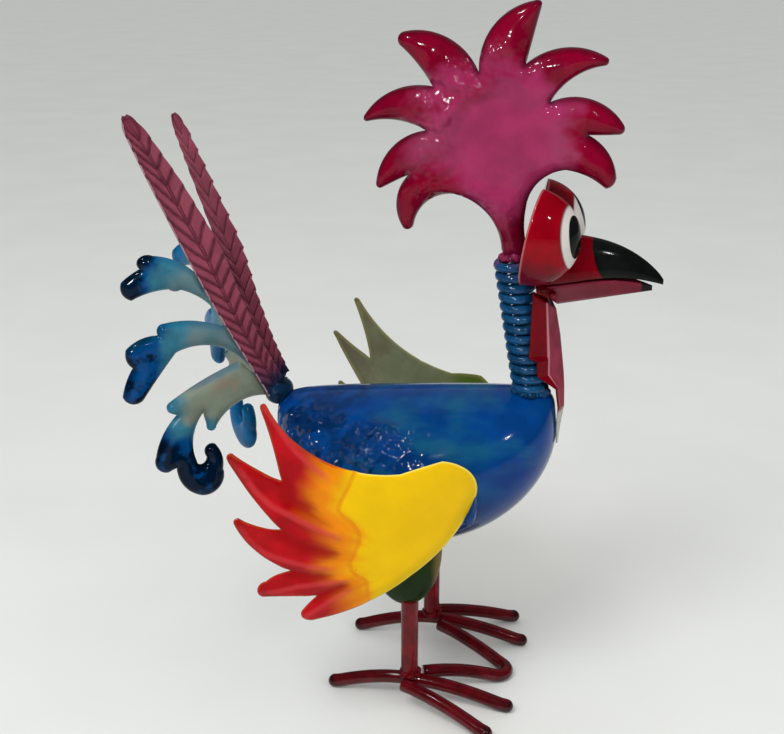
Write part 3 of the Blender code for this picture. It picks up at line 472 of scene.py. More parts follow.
def filled(rim, cell, rings):
    """The outline filled with small triangles, with rings of points just inside the rim."""
    low, high = rim.min(0), rim.max(0)
    rows = np.arange(low[1] + cell / 2, high[1], cell * math.sqrt(3) / 2)
    grid = np.array([
        (x, z)
        for row, z in enumerate(rows)
        for x in np.arange(low[0] + cell / 2 * (1 + row % 2), high[0], cell)
    ])
    tangent = np.roll(rim, -1, 0) - np.roll(rim, 1, 0)
    inward = np.stack([-tangent[:, 1], tangent[:, 0]], -1)
    inward /= np.linalg.norm(inward, axis=1, keepdims=True)
    parts = [rim]
    for ring in rings:
        line = rim + inward * ring
        parts.append(line[inside(line, rim) & (line_distance(line, rim, True) > ring * 0.9)])
    clear = max(rings) + cell * 0.55
    parts.append(grid[inside(grid, rim) & (line_distance(grid, rim, True) > clear)])
    points = np.concatenate(parts)
    chords = True
    while chords:
        vectors = [Vector(point) for point in points]
        _, _, faces, *_ = delaunay_2d_cdt(vectors, [], [list(range(len(rim)))], 1, 1e-7)
        chords = chord_middles(points, faces, len(rim))
        points = np.array([*points, *chords])
    depth = line_distance(points, rim, True)
    depth[: len(rim)] = 0
    return points, faces, depth


def smoothed(line, times):
    for _ in range(times):
        line[1:-1] = (line[:-2] + 2 * line[1:-1] + line[2:]) / 4
    return line


def distances(line):
    """How far along the line each of its points lies."""
    return np.concatenate([[0], np.cumsum(np.linalg.norm(np.diff(line, axis=0), axis=1))])


def read_off(at, known, rows):
    """Rows of values at other stations than the known ones."""
    return np.column_stack([np.interp(at, known, values) for values in zip(*rows)])


def ring_sides(count, width):
    """The faces between a stack of rings."""
    return [
        (i * width + j, i * width + (j + 1) % width, (i + 1) * width + (j + 1) % width, (i + 1) * width + j)
        for i in range(count - 1)
        for j in range(width)
    ]


def ring_ends(count, width):
    last = (count - 1) * width
    return [tuple(range(width)), tuple(last + j for j in reversed(range(width)))]


def keep(mesh, **values):
    """Stores named values at the mesh's points, for its paint to read."""
    for name, array in values.items():
        layer = mesh.attributes.new(name, "FLOAT", "POINT")
        layer.data.foreach_set("value", np.asarray(array, np.float32))


def mesh_of(name, points, faces):
    mesh = bpy.data.meshes.new(name)
    mesh.from_pydata([tuple(point) for point in points], [], [tuple(face) for face in faces])
    mesh.update()
    return mesh


def mesh_from(name, shape):
    mesh = bpy.data.meshes.new(name)
    shape.to_mesh(mesh)
    shape.free()
    return mesh


def grid_mesh(name, rows):
    """An open sheet through rows of points."""
    rows = np.asarray(rows, float)
    count, width = rows.shape[:2]
    faces = [
        (i * width + j, (i + 1) * width + j, (i + 1) * width + j + 1, i * width + j + 1)
        for i in range(count - 1)
        for j in range(width - 1)
    ]
    return mesh_of(name, rows.reshape(-1, 3), faces)


def face_outward(mesh):
    shape = bmesh.new()
    shape.from_mesh(mesh)
    bmesh.ops.recalc_face_normals(shape, faces=shape.faces)
    shape.to_mesh(mesh)
    shape.free()
    return mesh


def other_side(mesh, name):
    """A left-hand copy of a right-hand mesh."""
    copy = mesh.copy()
    copy.name = name
    copy.transform(Matrix.Scale(-1, 4, (0, 1, 0)))
    copy.flip_normals()
    return copy


def modified(mesh, kind, **values):
    """The plain mesh that a modifier makes, where a tree's inputs are set by their sockets' identifiers."""
    name = mesh.name
    carrier = bpy.data.objects.new(name, mesh)
    bpy.context.scene.collection.objects.link(carrier)
    modifier = carrier.modifiers.new(kind, kind)
    inputs = values.pop("inputs", {})
    for setting, value in values.items():
        setattr(modifier, setting, value)
    if inputs:
        for item in modifier.node_group.interface.items_tree:
            if item.in_out == "INPUT" and item.name in inputs:
                modifier[item.identifier] = inputs[item.name]
    graph = bpy.context.evaluated_depsgraph_get()
    result = bpy.data.meshes.new_from_object(carrier.evaluated_get(graph))
    bpy.data.objects.remove(carrier)
    bpy.data.meshes.remove(mesh)
    result.name = name
    return result


def thickened(mesh, sheet):
    return modified(mesh, "SOLIDIFY", thickness=sheet, offset=-1)


def upright_plane(x, y, z, yaw):
    """A frame whose first axis is level, whose second is up, and whose third faces the right side."""
    along = Vector((math.cos(yaw), math.sin(yaw), 0))
    up = Vector((0, 0, 1))
    turned = Matrix((along, up, along.cross(up))).transposed().to_4x4()
    return Matrix.Translation((x, y, z)) @ turned


def puffed(name, knots, size, place, thickness, rounding, cell):
    """A closed, pillow-like form of the outline, with its plan and its distance from the rim kept."""
    rim = traced(knots, size, cell * 0.7)
    points, faces, depth = filled(rim, cell, (cell * 0.22, cell * 0.6))
    height = thickness / 2 * np.sqrt(1 - (1 - np.clip(depth / rounding, 0, 1)) ** 2)
    count = len(points)
    raised = np.flatnonzero(height > 0)
    behind = np.arange(count)
    behind[raised] = count + np.arange(len(raised))
    front = np.column_stack([points, height])
    back = np.column_stack([points[raised], -height[raised]])
    sides = [*faces, *[[behind[i] for i in reversed(face)] for face in faces]]
    mesh = mesh_of(name, np.concatenate([front, back]), sides)
    plan = np.concatenate([points, points[raised]]) / size
    keep(mesh, rim=np.concatenate([depth, depth[raised]]) / rounding, plan_x=plan[:, 0], plan_z=plan[:, 1])
    mesh.transform(place)
    return mesh, plan


def stand(name, mesh, slot, *nodes, materials=()):
    """Puts a finished mesh in the model, in place of its CAD nodes and never outside the CAD's box."""
    mesh.transform(Matrix.Translation((CENTRING, 0, 0)))
    points = np.empty(len(mesh.vertices) * 3, np.float32)
    mesh.vertices.foreach_get("co", points)
    points = np.clip(points.reshape(-1, 3), *CAD_BOX).astype(np.float32)
    mesh.vertices.foreach_set("co", points.ravel())
    mesh.update()
    mesh.shade_smooth()
    mesh.name = name
    piece = bpy.data.objects.new(name, mesh)
    bpy.context.scene.collection.objects.link(piece)
    for material in materials:
        mesh.materials.append(material)
    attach(piece, "root")
    if nodes:
        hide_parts(*nodes)
    return piece


def node_tree(name, **sockets):
    """An empty Geometry Nodes tree with a mesh in and out, its inputs, and a function that ends it."""
    tree = bpy.data.node_groups.new(name, "GeometryNodeTree")
    for way in ("INPUT", "OUTPUT"):
        tree.interface.new_socket("Geometry", in_out=way, socket_type="NodeSocketGeometry")
    for label, kind in sockets.items():
        tree.interface.new_socket(label.replace("_", " "), in_out="INPUT", socket_type=f"NodeSocket{kind}")
    nodes = Nodes(tree)
    given = {socket.name: Value(nodes, socket) for socket in tree.nodes.new("NodeGroupInput").outputs}
    outlet = tree.nodes.new("NodeGroupOutput")

    def close(made):
        real = nodes.add("GeometryNodeRealizeInstances", {"Geometry": made})
        painted = nodes.add("GeometryNodeSetMaterial", {"Geometry": real, "Material": given["Paint"]})
        nodes.feed(outlet.inputs["Geometry"], painted)
        return tree

    return nodes, given, close


def coil_tree():
    """A wire wound on a straight axis."""
    nodes, given, close = node_tree("Wound wire", Turns="Float", Radius="Float", Rise="Float",
                                    Wire_Radius="Float", Paint="Material")
    spiral = nodes.add("GeometryNodeCurveSpiral", {
        "Resolution": 40, "Rotations": given["Turns"], "Start Radius": given["Radius"],
        "End Radius": given["Radius"], "Height": given["Rise"],
    })
    round_wire = {"Resolution": 20, "Radius": given["Wire Radius"]}
    profile = nodes.add("GeometryNodeCurvePrimitiveCircle", round_wire)
    return close(nodes.add("GeometryNodeCurveToMesh", {
        "Curve": spiral, "Profile Curve": profile, "Fill Caps": True,
    }))


def bead_tree():
    """Flattened lumps of weld metal, set close together on the points of a mesh."""
    nodes, given, close = node_tree("Weld beads", Bead_Size="Float", Seed="Int", Paint="Material")
    ball = nodes.add("GeometryNodeMeshIcoSphere", {"Radius": given["Bead Size"], "Subdivisions": 3})
    grow = nodes.add("FunctionNodeRandomValue", {2: 0.75, 3: 1.3, "Seed": given["Seed"]}, 1)
    turn = nodes.add("FunctionNodeRandomValue", {0: (0, 0, 0), 1: (3, 3, 3), "Seed": given["Seed"]},
                     data_type="FLOAT_VECTOR")
    squash = nodes.add("ShaderNodeVectorMath", {0: (1.25, 1.0, 0.7), "Scale": grow}, operation="SCALE")
    placed = nodes.add("GeometryNodeInstanceOnPoints", {
        "Points": given["Geometry"], "Instance": ball, "Rotation": turn, "Scale": squash,
    })
    return close(nodes.add("GeometryNodeSetShadeSmooth", {"Geometry": placed}))


def rib_tree():
    """Slanting pleats over a leaf that keeps its own across, from -1 to 1, and along, from 0 to 1."""
    nodes, given, close = node_tree("Herringbone ribs", Ribs="Float", Slant="Float", Rib_Height="Float",
                                    Paint="Material")
    across, along = [
        nodes.add("GeometryNodeInputNamedAttribute", {"Name": name}) for name in ("across", "along")
    ]
    line = {"kind": "LINEAR"}
    slant = given["Slant"] * across.spread(-0.02, 0.02, 1.0, FRONT_SLANT, **line)
    phase = (along * given["Ribs"] - abs(across) * slant).math("FRACT")
    to_groove = phase.math("MINIMUM", (phase * -1.0) + 1.0)
    groove = to_groove.spread(0.0, 0.14, **line).math("POWER", 0.6)
    shape = groove * phase.spread(0.0, 1.0, 0.35, 1.0, **line)
    shape = shape * abs(across).spread(0.0, 0.06, 0.3, 1.0, **line)
    shape = shape * across.spread(-1.0, -0.88, 0.25, 1.0, **line)
    push = nodes.add("ShaderNodeVectorMath", {
        0: nodes.add("GeometryNodeInputNormal", {}), "Scale": shape * given["Rib Height"],
    }, operation="SCALE")
    moved = nodes.add("GeometryNodeSetPosition", {"Geometry": given["Geometry"], "Offset": push})
    kept = {"Geometry": moved, "Name": "rib", "Value": shape}
    return close(nodes.add("GeometryNodeStoreNamedAttribute", kept))


def weld_paint(name, colour):
    paint = Paint(name, 0.20, 0.12)
    deep = tuple(value * 0.35 for value in colour)
    paint.base = paint.blend(paint.noise(150, 3).spread(0.35, 0.6), deep, colour)
    return paint.finish(paint.bump(paint.noise(260, 4, 0.7), 0.0006, 0.8))


def ring_points(centre, axis, radius, count, jitter):
    axis = Vector(axis).normalized()
    side = axis.orthogonal().normalized()
    other = axis.cross(side)
    points = []
    for i in range(count):
        turn = math.tau * i / count
        wide = radius * (1 + jitter * math.sin(5 * turn + 1))
        points.append(Vector(centre) + wide * (math.cos(turn) * side + math.sin(turn) * other))
    return points


def weld(name, points, size, seed, paint, slot, *nodes):
    """Beads of weld metal on the points."""
    tree = bpy.data.node_groups.get("Weld beads") or bead_tree()
    inputs = {"Bead Size": size, "Seed": seed, "Paint": paint}
    stand(name, modified(mesh_of(name, points, []), "NODES", node_group=tree, inputs=inputs), slot, *nodes)


def body_paint():
    look = settings("body")
    paint = Paint("Cobalt enamel", 0.10, 0.18)
    x, z = paint.along(0), paint.along(2)
    paint.start(look.cobalt, 0.16, 50)
    level = paint.add("ShaderNodeMapping", {"Vector": paint.place, "Scale": (1, 1, 2.4)})
    flank = paint.noise(24, 3, place=level).spread(0.42, 0.70)
    # Painted reflection: pale patches, broken up by noise, over the upper front of the flank
    paint.coat(flank * x.spread(-0.050, 0.020) * z.spread(0.150, 0.190), 0.8, look.painted_reflection)
    # Painted shade: the belly darkens towards the bottom
    paint.coat(z.spread(0.175, 0.118), 1.0, look.shade)
    paint.coat(x.spread(0.060, 0.095) * z.spread(0.215, 0.180), 0.5, tint(0, 40, 110))
    rear = (x + paint.shaky(30, 0.02, 2)).spread(0.010, -0.025)
    paint.coat(rear * paint.noise(60, 4).spread(0.40, 0.62), 0.6, look.shade)
    blows = paint.add("ShaderNodeTexVoronoi", {"Vector": paint.place, "Scale": 95, "Smoothness": 0.45},
                      "Distance", feature="SMOOTH_F1")
    blows = blows * paint.noise(60, 2).spread(0.40, 0.60, 0.25, 1.0)
    beaten = x.spread(0.045, -0.005) * z.spread(0.2150, 0.2080)
    return paint.finish(paint.bump(blows * beaten, look.dimple), paint.patchy(70, 0.04, 0.12))


def make_body():
    look = settings("body")
    shape = bmesh.new()
    bmesh.ops.create_uvsphere(shape, u_segments=128, v_segments=96, radius=1)
    for vertex in shape.verts:
        across, high, along = vertex.co
        reach = min(abs(along), 1)
        turn = math.atan2(across, high)
        back, belly, width = [
            size * (1 - reach**squareness) ** (1 / squareness)
            for size, squareness in (
                (look.back_rise, BACK_SQUARENESS),
                (look.belly_depth, BELLY_SQUARENESS),
                (look.body_width / 2, PLAN_SQUARENESS),
            )
        ]
        vertex.co = (along * look.body_length / 2, width * math.sin(turn),
                     (back - belly) / 2 + (back + belly) / 2 * math.cos(turn))
    shape.transform(Matrix.Translation(BODY_MIDDLE) @ Matrix.Rotation(-BODY_NOSE_UP, 4, "Y"))
    bmesh.ops.recalc_face_normals(shape, faces=shape.faces)
    paint = body_paint()
    stand("body_shell", mesh_from("body_shell", shape), "cobalt_enamel", "body", materials=[paint])
    for node in ("wing_weld_right", "wing_weld_left"):
        for material_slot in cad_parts[node].material_slots:
            material_slot.material = paint


def coil_paint():
    paint = Paint("Blue coil enamel", 0.12, 0.26)
    paint.start(settings("neck").blue, 0.30, 120)
    paint.coat(paint.noise(170, 5, 0.7).spread(0.62, 0.74), 0.7, tint(84, 132, 168))
    top_turn = paint.along(2).spread(0.308, 0.317) * paint.noise(90, 4).spread(0.4, 0.6)
    paint.coat(top_turn, 0.6, tint(120, 50, 96))
    return paint.finish(paint.bump(paint.noise(330, 3), 0.0003, 0.7))


def make_neck():
    look = settings("neck")
    rise = NECK_TOP - NECK_FOOT
    sunk = NECK_SUNK_TURNS
    coil = modified(mesh_of("neck_wire", [], []), "NODES", node_group=coil_tree(), inputs={
        "Turns": look.turns + sunk, "Radius": (look.coil - look.wire) / 2,
        "Rise": rise.length * (1 + sunk / look.turns), "Wire Radius": look.wire / 2, "Paint": coil_paint(),
    })
    lean = Vector((0, 0, 1)).rotation_difference(rise).to_matrix().to_4x4()
    start = NECK_FOOT - rise * sunk / look.turns
    coil.transform(Matrix.Translation(start) @ lean @ Matrix.Rotation(math.pi - math.tau * sunk, 4, "Z"))
    stand("neck_wire", coil, "cobalt_enamel", "neck_coil")
    seat = ring_points((0.0995, 0, 0.2286), (0, 0, 1), look.coil / 2 - 0.0010, 30, 0.04)
    weld("neck_seat_weld", seat, 0.0019, 3, weld_paint("Blue weld", look.blue), "cobalt_enamel")
    stem = ring_points((0.0850, 0, 0.3205), rise, 0.0058, 12, 0.1)
    rose = weld_paint("Rose weld", settings("crest").magenta)
    weld("stem_weld", stem, 0.0030, 8, rose, "magenta_enamel", "neck_weld")


def crest_paint():
    look = settings("crest")
    paint = Paint("Rose crest enamel", 0.09, 0.15)
    x, z, rim = [paint.kept(name) for name in ("plan_x", "plan_z", "rim")]
    out = paint.oval(x, z, (-0.06, 0.46), (1.0, 1.0))
    far = out + paint.shaky(34, 0.09)
    paint.start(look.magenta, 0.16, 38)
    paint.coat(paint.noise(22, 3).spread(0.48, 0.72), 0.4, tint(150, 66, 92))
    paint.coat(far.spread(0.20, 0.40), 1.0, paint.mottle(look.crimson, 0.2, 50))
    paint.coat(far.spread(0.46, 0.60), 0.7, look.tip)
    # Painted shade: a dark band along the rounded rim
    paint.coat(rim.spread(0.30, 0.02), 0.6, tint(58, 6, 22))
    paint.coat(z.spread(0.16, 0.02), 0.5, tint(110, 24, 56))
    lumpy = out.spread(0.16, 0.26) * out.spread(0.46, 0.32) * x.spread(0.10, -0.25, 0.3, 1.0)
    relief = paint.bump(paint.noise(70, 2, 0.4) * lumpy, 0.0130, 0.9)
    return paint.finish(relief, paint.patchy(60, 0.06, 0.14))


def make_crest():
    look = settings("crest")
    mesh, _ = puffed("crest_shell", CREST_OUTLINE, look.height, upright_plane(*CREST_FOOT, 0), look.thickness,
                     look.rounding, 0.0024)
    stand("crest_shell", mesh, "magenta_enamel", "crest", materials=[crest_paint()])


def eye_paint(pupil_middle):
    look = settings("head")
    paint = Paint("Eye enamel", 0.08, 0.14)
    side, high, out = [paint.kept(name) for name in ("eye_side", "eye_up", "eye_out")]
    paint.start(look.red, 0.14, 60)
    # Painted shade: the lid darkens towards the bottom of the dome
    paint.coat((high + paint.shaky(60, 0.08)).spread(-0.20, -0.65), 0.85, tint(88, 14, 30))
    lid = paint.base
    ring = paint.oval(side, high, (-0.02, 0.20), (0.70, 0.62))
    paint.coat(ring.spread(1.012, 0.988), 1.0, paint.mottle(look.white, 0.06, 70))
    # Painted shade on the inner side of the lid, where the two domes face each other
    paint.coat(side.spread(0.20, 0.55) * ring.spread(0.99, 1.01), 0.85, tint(64, 16, 24))
    paint.coat(abs(ring - 1.0).spread(0.045, 0.012), 0.6, tint(92, 30, 36))
    pupil = paint.oval(side, high, pupil_middle, (0.39, 0.42))
    paint.coat(pupil.spread(1.02, 0.98), 1.0, look.black)
    # Painted highlight: a pale pink line along the dome's edge
    paint.coat(out.spread(0.050, 0.02), 0.6, tint(204, 120, 120))
    paint.coat(out.spread(0.004, 0.001), 1.0, lid)
    return paint.finish()


def make_eyes():
    look = settings("head")
    shape = bmesh.new()
    bmesh.ops.create_uvsphere(shape, u_segments=96, v_segments=64, radius=1)
    cut = bmesh.ops.bisect_plane(shape, geom=shape.verts[:] + shape.edges[:] + shape.faces[:], dist=1e-6,
                                 plane_co=(0, 0, 0), plane_no=(0, 0, -1), clear_outer=True)
    bmesh.ops.edgeloop_fill(shape, edges=[e for e in cut["geom_cut"] if isinstance(e, bmesh.types.BMEdge)])
    bmesh.ops.recalc_face_normals(shape, faces=shape.faces)
    mesh = mesh_from("eye_right", shape)
    unit = np.array([vertex.co[:] for vertex in mesh.vertices])
    keep(mesh, eye_side=unit[:, 0], eye_up=unit[:, 1], eye_out=unit[:, 2])
    mesh.transform(Matrix.Diagonal((look.eye_half_width, look.eye_radius, look.eye_radius, 1)))
    facing = Matrix(((0, 0, 1), (1, 0, 0), (0, 1, 0))).to_4x4()
    place = Matrix.Translation((EYE_BASE_X, -look.eye_spacing / 2, EYE_BASE_Z))
    mesh.transform(place @ Matrix.Rotation(EYE_NOD, 4, "Y") @ Matrix.Rotation(-EYE_SPLAY, 4, "Z") @ facing)
    mirror = other_side(mesh, "eye_left")
    for hand, dome, pupil_middle in (("right", mesh, (-0.15, 0.25)), ("left", mirror, (-0.08, 0.46))):
        stand(f"eye_{hand}", dome, "red_enamel", f"eye_dome_{hand}", materials=[eye_paint(pupil_middle)])


def beak_floor(x):
    share = min(max((x - BEAK_ROOT_X) / BEAK_LENGTH, 0), 1)
    return BEAK_FLOOR_Z + 0.0010 * share + 0.0054 * math.sin(math.pi * share**1.357)


def beak_paint(name, colour, black_x, sweep):
    """Enamel that turns black ahead of a line, which curves forward below by the sweep."""
    paint = Paint(name, 0.10, 0.14)
    x, z = paint.along(0), paint.along(2)
    line = z.spread(0.331, 0.3124, kind="LINEAR").math("POWER", 1.6) * sweep + (black_x + CENTRING)
    paint.start(colour, 0.2, 70)
    # Painted shade: darker towards the bottom, under the upper beak's curve
    paint.coat(z.spread(0.316, 0.308), 0.45, tint(72, 8, 20))
    past = x + paint.shaky(90, 0.0005, 2) - line
    paint.coat(past.spread(-0.0006, 0.0006), 1.0, paint.mottle(settings("head").black, 0.3, 60))
    return paint.finish()


def upper_beak():
    stations, sides = 48, 40
    rings = []
    for i in range(stations + 1):
        share = math.sin(math.pi / 2 * i / stations)
        x = BEAK_ROOT_X + BEAK_LENGTH * share
        high = 0.0335 * (1 - 0.985 * share) ** 0.57
        wide = 0.0165 * (1 - 0.94 * share**1.6)
        floor = beak_floor(x)
        rings.append([(x, wide * (1 - 2 * j / 8), floor) for j in range(9)] + [
            (x, -wide * math.cos(math.pi * j / sides), floor + high * math.sin(math.pi * j / sides))
            for j in range(1, sides)
        ])
    size = len(rings), len(rings[0])
    return face_outward(mesh_of("beak_top", sum(rings, []), ring_sides(*size) + ring_ends(*size)))


def lower_beak(sheet):
    rows = []
    for share in np.linspace(0, 1, 41):
        x = 0.1014 + 0.0738 * share
        wide = 0.0150 * (1 - 0.92 * share**1.7)
        rim = beak_floor(x) - sheet - 0.0022 * share - 0.0015 * (1 - share) ** 6
        keel = 0.3031 - 0.0131 * (1 - share)
        rows.append([
            (x + 0.0133 * (1 - share) * (1 - abs(side)), wide * side, rim + (keel - rim) * (1 - abs(side)))
            for side in np.linspace(1, -1, 17)
        ])
    return face_outward(thickened(grid_mesh("beak_bottom", rows), sheet))


def make_beak():
    look = settings("head")
    paint = beak_paint("Beak enamel", look.beak_red, 0.1362, 0.0071)
    stand("beak_top", upper_beak(), "red_enamel", "upper_beak", materials=[paint])
    paint = beak_paint("Lower beak enamel", look.maroon, 0.168, 0.0)
    stand("beak_bottom", lower_beak(look.sheet), "red_enamel", "lower_beak", materials=[paint])
    hinge = [
        (0.1045 + 0.0036 * row, -0.0142 + 0.0284 * i / 12, 0.3035 - 0.0016 * row)
        for row in range(3)
        for i in range(13)
    ]
    weld("beak_hinge_weld", hinge, 0.0030, 11, weld_paint("Red weld", look.beak_red), "red_enamel")


def wattle_paint():
    paint = Paint("Wattle enamel", 0.14, 0.10)
    off_middle, down = abs(paint.kept("across")), paint.kept("down")
    paint.start(settings("head").beak_red, 0.18, 60)
    paint.coat(off_middle.spread(0.56, 0.50), 1.0, paint.mottle(tint(124, 44, 62), 0.2, 80))
    # Painted highlight: a pale line along the creases beside the front strip
    paint.coat(abs(off_middle - 0.53).spread(0.05, 0.01), 0.6, tint(206, 140, 150))
    # The wattle's lowest part is painted pale grey
    pale_bottom = (down + paint.shaky(160, 0.03)).spread(0.70, 0.76)
    paint.coat(pale_bottom, 1.0, paint.mottle(tint(178, 176, 168), 0.15, 90))
    return paint.finish()


def make_wattle():
    halves = []
    for i, (z, front, crease, back) in enumerate(WATTLE_ROWS):
        back_rise, crease_rise, _ = WATTLE_TOP_SLANT if i == 0 else (0, 0, 0)
        halves.append([(back, -WATTLE_BACK_HALF_WIDTH, z + back_rise),
                       (crease, -WATTLE_CREASE_HALF_WIDTH, z + crease_rise), (front, 0, z)])
    for i, (z, front) in enumerate(WATTLE_TAIL_ROWS):
        half = WATTLE_CREASE_HALF_WIDTH - 0.0045 * (i + 1) / 4
        fold = WATTLE_TAIL_FOLD * (1 - i / 3)
        back, crease = (front - 1.2 * fold, -half - 0.0004, z), (front - fold, -0.8 * half, z)
        halves.append([back, crease, (front, 0, z)])
    knots = np.array([[*half, *[(x, -y, z) for x, y, z in reversed(half[:-1])]] for half in halves])
    down = np.linspace(0, len(knots) - 1, 97)
    above = np.minimum(down.astype(int), len(knots) - 2)
    share = (down - above)[:, None, None]
    rows = knots[above] * (1 - share) + knots[above + 1] * share
    part = np.linspace(0, 4, 33)
    left = np.minimum(part.astype(int), 3)
    share = (part - left)[None, :, None]
    fine = rows[:, left] * (1 - share) + rows[:, left + 1] * share
    mesh = grid_mesh("wattle_sheet", fine)
    keep(mesh, across=np.tile(part / 2 - 1, len(fine)),
         down=np.repeat((WATTLE_TOP_Z - rows[:, 2, 2]) / WATTLE_HEIGHT, fine.shape[1]))
    mesh = face_outward(thickened(mesh, settings("head").sheet))
    stand("wattle_sheet", mesh, "red_enamel", "wattle", materials=[wattle_paint()])


def wing_reach(x, z):
    """How far the wing's outer face stands from the middle plane."""
    back = (WING_SHOULDER_X - x) / 0.15
    up = (z - WING_MIDDLE_Z) / 0.15
    spread = 0.0549 + 0.1583 * back - 0.138 * back**2 + 0.0559 * back**3
    tilt = 0.051 - 0.0738 * back + 0.0258 * back**2
    return spread + tilt * up - 0.0306 * up**2


def wing_paint():
    look = settings("wing")
    paint = Paint("Flame wing enamel", 0.12, 0.09)
    behind, ridge, rim, high, valley, fan, scallop = [
        paint.kept(name) for name in ("behind", "ridge", "rim", "plan_z", "valley", "fan", "scallop")
    ]
    front = behind.spread(0.010, -0.040)
    late = high.spread(-0.02, 0.22, 0.0, 0.035)
    rays = paint.add("ShaderNodeCombineXYZ", {0: fan * 5.0, 1: behind * 3.0})
    streak = paint.add("ShaderNodeTexNoise", {"Vector": rays, "Scale": 1.0, "Detail": 3.0})
    fire = behind + streak.spread(0.3, 0.7, -0.018, 0.030) - late
    paint.start(look.yellow, 0.05, 30)
    paint.coat(fire.spread(-0.050, 0.055), 1.0, paint.mottle(look.orange, 0.08, 40))
    paint.coat(fire.spread(0.035, 0.205), 1.0, paint.mottle(look.red, 0.20, 60))
    # Painted shade: darker red down the valleys between the feathers
    paint.coat(valley.spread(0.055, 0.005) * fire.spread(0.05, 0.13), 0.8, tint(150, 0, 6))
    # Painted highlight: lighter pink along the feathers' ridges
    paint.coat(ridge.spread(0.022, 0.002) * fire.spread(0.03, 0.10), 0.55, tint(204, 60, 66))
    paint.coat((behind + paint.shaky(80, 0.05, 4)).spread(0.36, 0.47), 0.6, tint(122, 24, 18))
    burnt = (rim + paint.shaky(120, 0.003, 4)).spread(0.010, 0.003)
    paint.coat(burnt * behind.spread(0.02, 0.12), 0.75, tint(168, 60, 30))
    paint.coat(rim.spread(0.070, 0.020) * front * high.spread(0.20, 0.05), 0.35, tint(186, 156, 10))
    paint.coat(scallop.spread(0.014, 0.003), 0.6, tint(222, 120, 10))
    # Painted highlight: a pale yellow line along the rim of the shoulder
    paint.coat(rim.spread(0.008, 0.003) * front, 0.7, tint(244, 226, 110))
    specks = paint.add("ShaderNodeTexVoronoi", {"Vector": paint.place, "Scale": 48}, "Distance")
    paint.coat(specks.spread(0.05, 0.03) * front, 0.6, tint(110, 70, 10))
    return paint.finish(None, paint.patchy(50, 0.08, 0.18))


def wing_inside_paint():
    paint = Paint("Wing inner paint", 0.35, 0.12)
    paint.start(settings("wing").inside, 0.18, 40)
    behind = paint.kept("behind")
    paint.coat((behind + paint.shaky(50, 0.06)).spread(0.16, 0.34), 0.5, tint(92, 70, 58))
    paint.coat(behind.spread(-0.08, -0.30), 1.0, tint(78, 100, 26))
    # Painted highlight: a pale line along the rim
    paint.coat(paint.kept("rim").spread(0.022, 0.008), 0.35, tint(160, 154, 84))
    return paint.finish()


def wing_edge_paint():
    paint = Paint("Wing edge enamel", 0.2, 0.12)
    paint.start(tint(226, 196, 70), 0.1, 60)
    paint.coat(paint.kept("behind").spread(0.02, 0.12), 1.0, paint.mottle(tint(150, 56, 30), 0.2, 60))
    return paint.finish()


def make_wings():
    look = settings("wing")
    size = look.wing_length
    points, faces, depth = filled(traced(WING_OUTLINE, size, 0.0014), 0.0022, (0.0006, 0.0014))
    plan = points / size
    high = np.linspace(-0.55, 0.60, 231)
    line_x = smoothed(np.interp(high, [z for _, z in SCALLOP[::-1]], [x for x, _ in SCALLOP[::-1]]), 12)
    scallop = line_distance(plan, np.column_stack([line_x, high]))
    behind = np.interp(plan[:, 1], high, line_x) - plan[:, 0]
    ridge, valley = [
        np.min([line_distance(plan, line) for line in lines], axis=0)
        for lines in (FEATHER_RIDGES, FEATHER_VALLEYS)
    ]
    fade = np.clip(behind / 0.06, 0, 1)
    lift = look.ridge * np.exp(-((ridge / 0.030) ** 2)) * fade
    lift -= look.ridge * 0.6 * np.exp(-((valley / 0.022) ** 2)) * fade
    lift -= look.groove * np.exp(-((scallop / 0.012) ** 2))
    lift -= 0.0011 * np.clip(1 - depth / 0.0028, 0, 1) ** 2
    x, z = WING_SHOULDER_X + points[:, 0], WING_MIDDLE_Z + points[:, 1]
    mesh = mesh_of("wing_right_sheet", np.column_stack([x, -(wing_reach(x, z) + lift), z]), faces)
    keep(mesh, behind=behind, ridge=ridge, valley=valley, scallop=scallop, rim=depth / size,
         plan_z=plan[:, 1], fan=np.arctan2(plan[:, 1] + 0.25, -0.20 - plan[:, 0]))
    mesh = thickened(mesh, look.sheet)
    left = other_side(mesh, "wing_left_sheet")
    paints = [wing_paint(), wing_inside_paint(), wing_edge_paint()]
    for hand, sheet, side in (("right", mesh, -1), ("left", left, 1)):
        piece = stand(f"wing_{hand}_sheet", sheet, "yellow_enamel", f"wing_{hand}", materials=paints)
        for polygon in piece.data.polygons:
            facing = polygon.normal.y * side
            polygon.material_index = 0 if facing > 0.25 else 1 if facing < -0.25 else 2


def plume_paint():
    look = settings("tail")
    paint = Paint("Rose plume paint", 0.42, 0.10)
    along, across, rib = [paint.kept(name) for name in ("along", "across", "rib")]
    paint.start(look.rose, 0.14, 70)
    # Painted shade in the rib grooves and on the low side of each rib
    paint.coat(rib.spread(0.50, 0.06), 0.75, tint(58, 16, 32))
    # Painted highlight on the raised ribs
    paint.coat(rib.spread(0.70, 0.95) * paint.noise(120, 4).spread(0.45, 0.65), 0.4, tint(176, 104, 122))
    paint.coat(along.spread(0.92, 1.0), 0.45, tint(104, 34, 54))
    paint.coat((along + paint.shaky(60, 0.03)).spread(0.15, 0.02), 1.0, look.plume_foot)
    # Painted highlight: a pale line along the back edge
    paint.coat(across.spread(-0.95, -0.98), 0.55, tint(196, 160, 170))
    return paint.finish(None, paint.patchy(90, 0.34, 0.55))


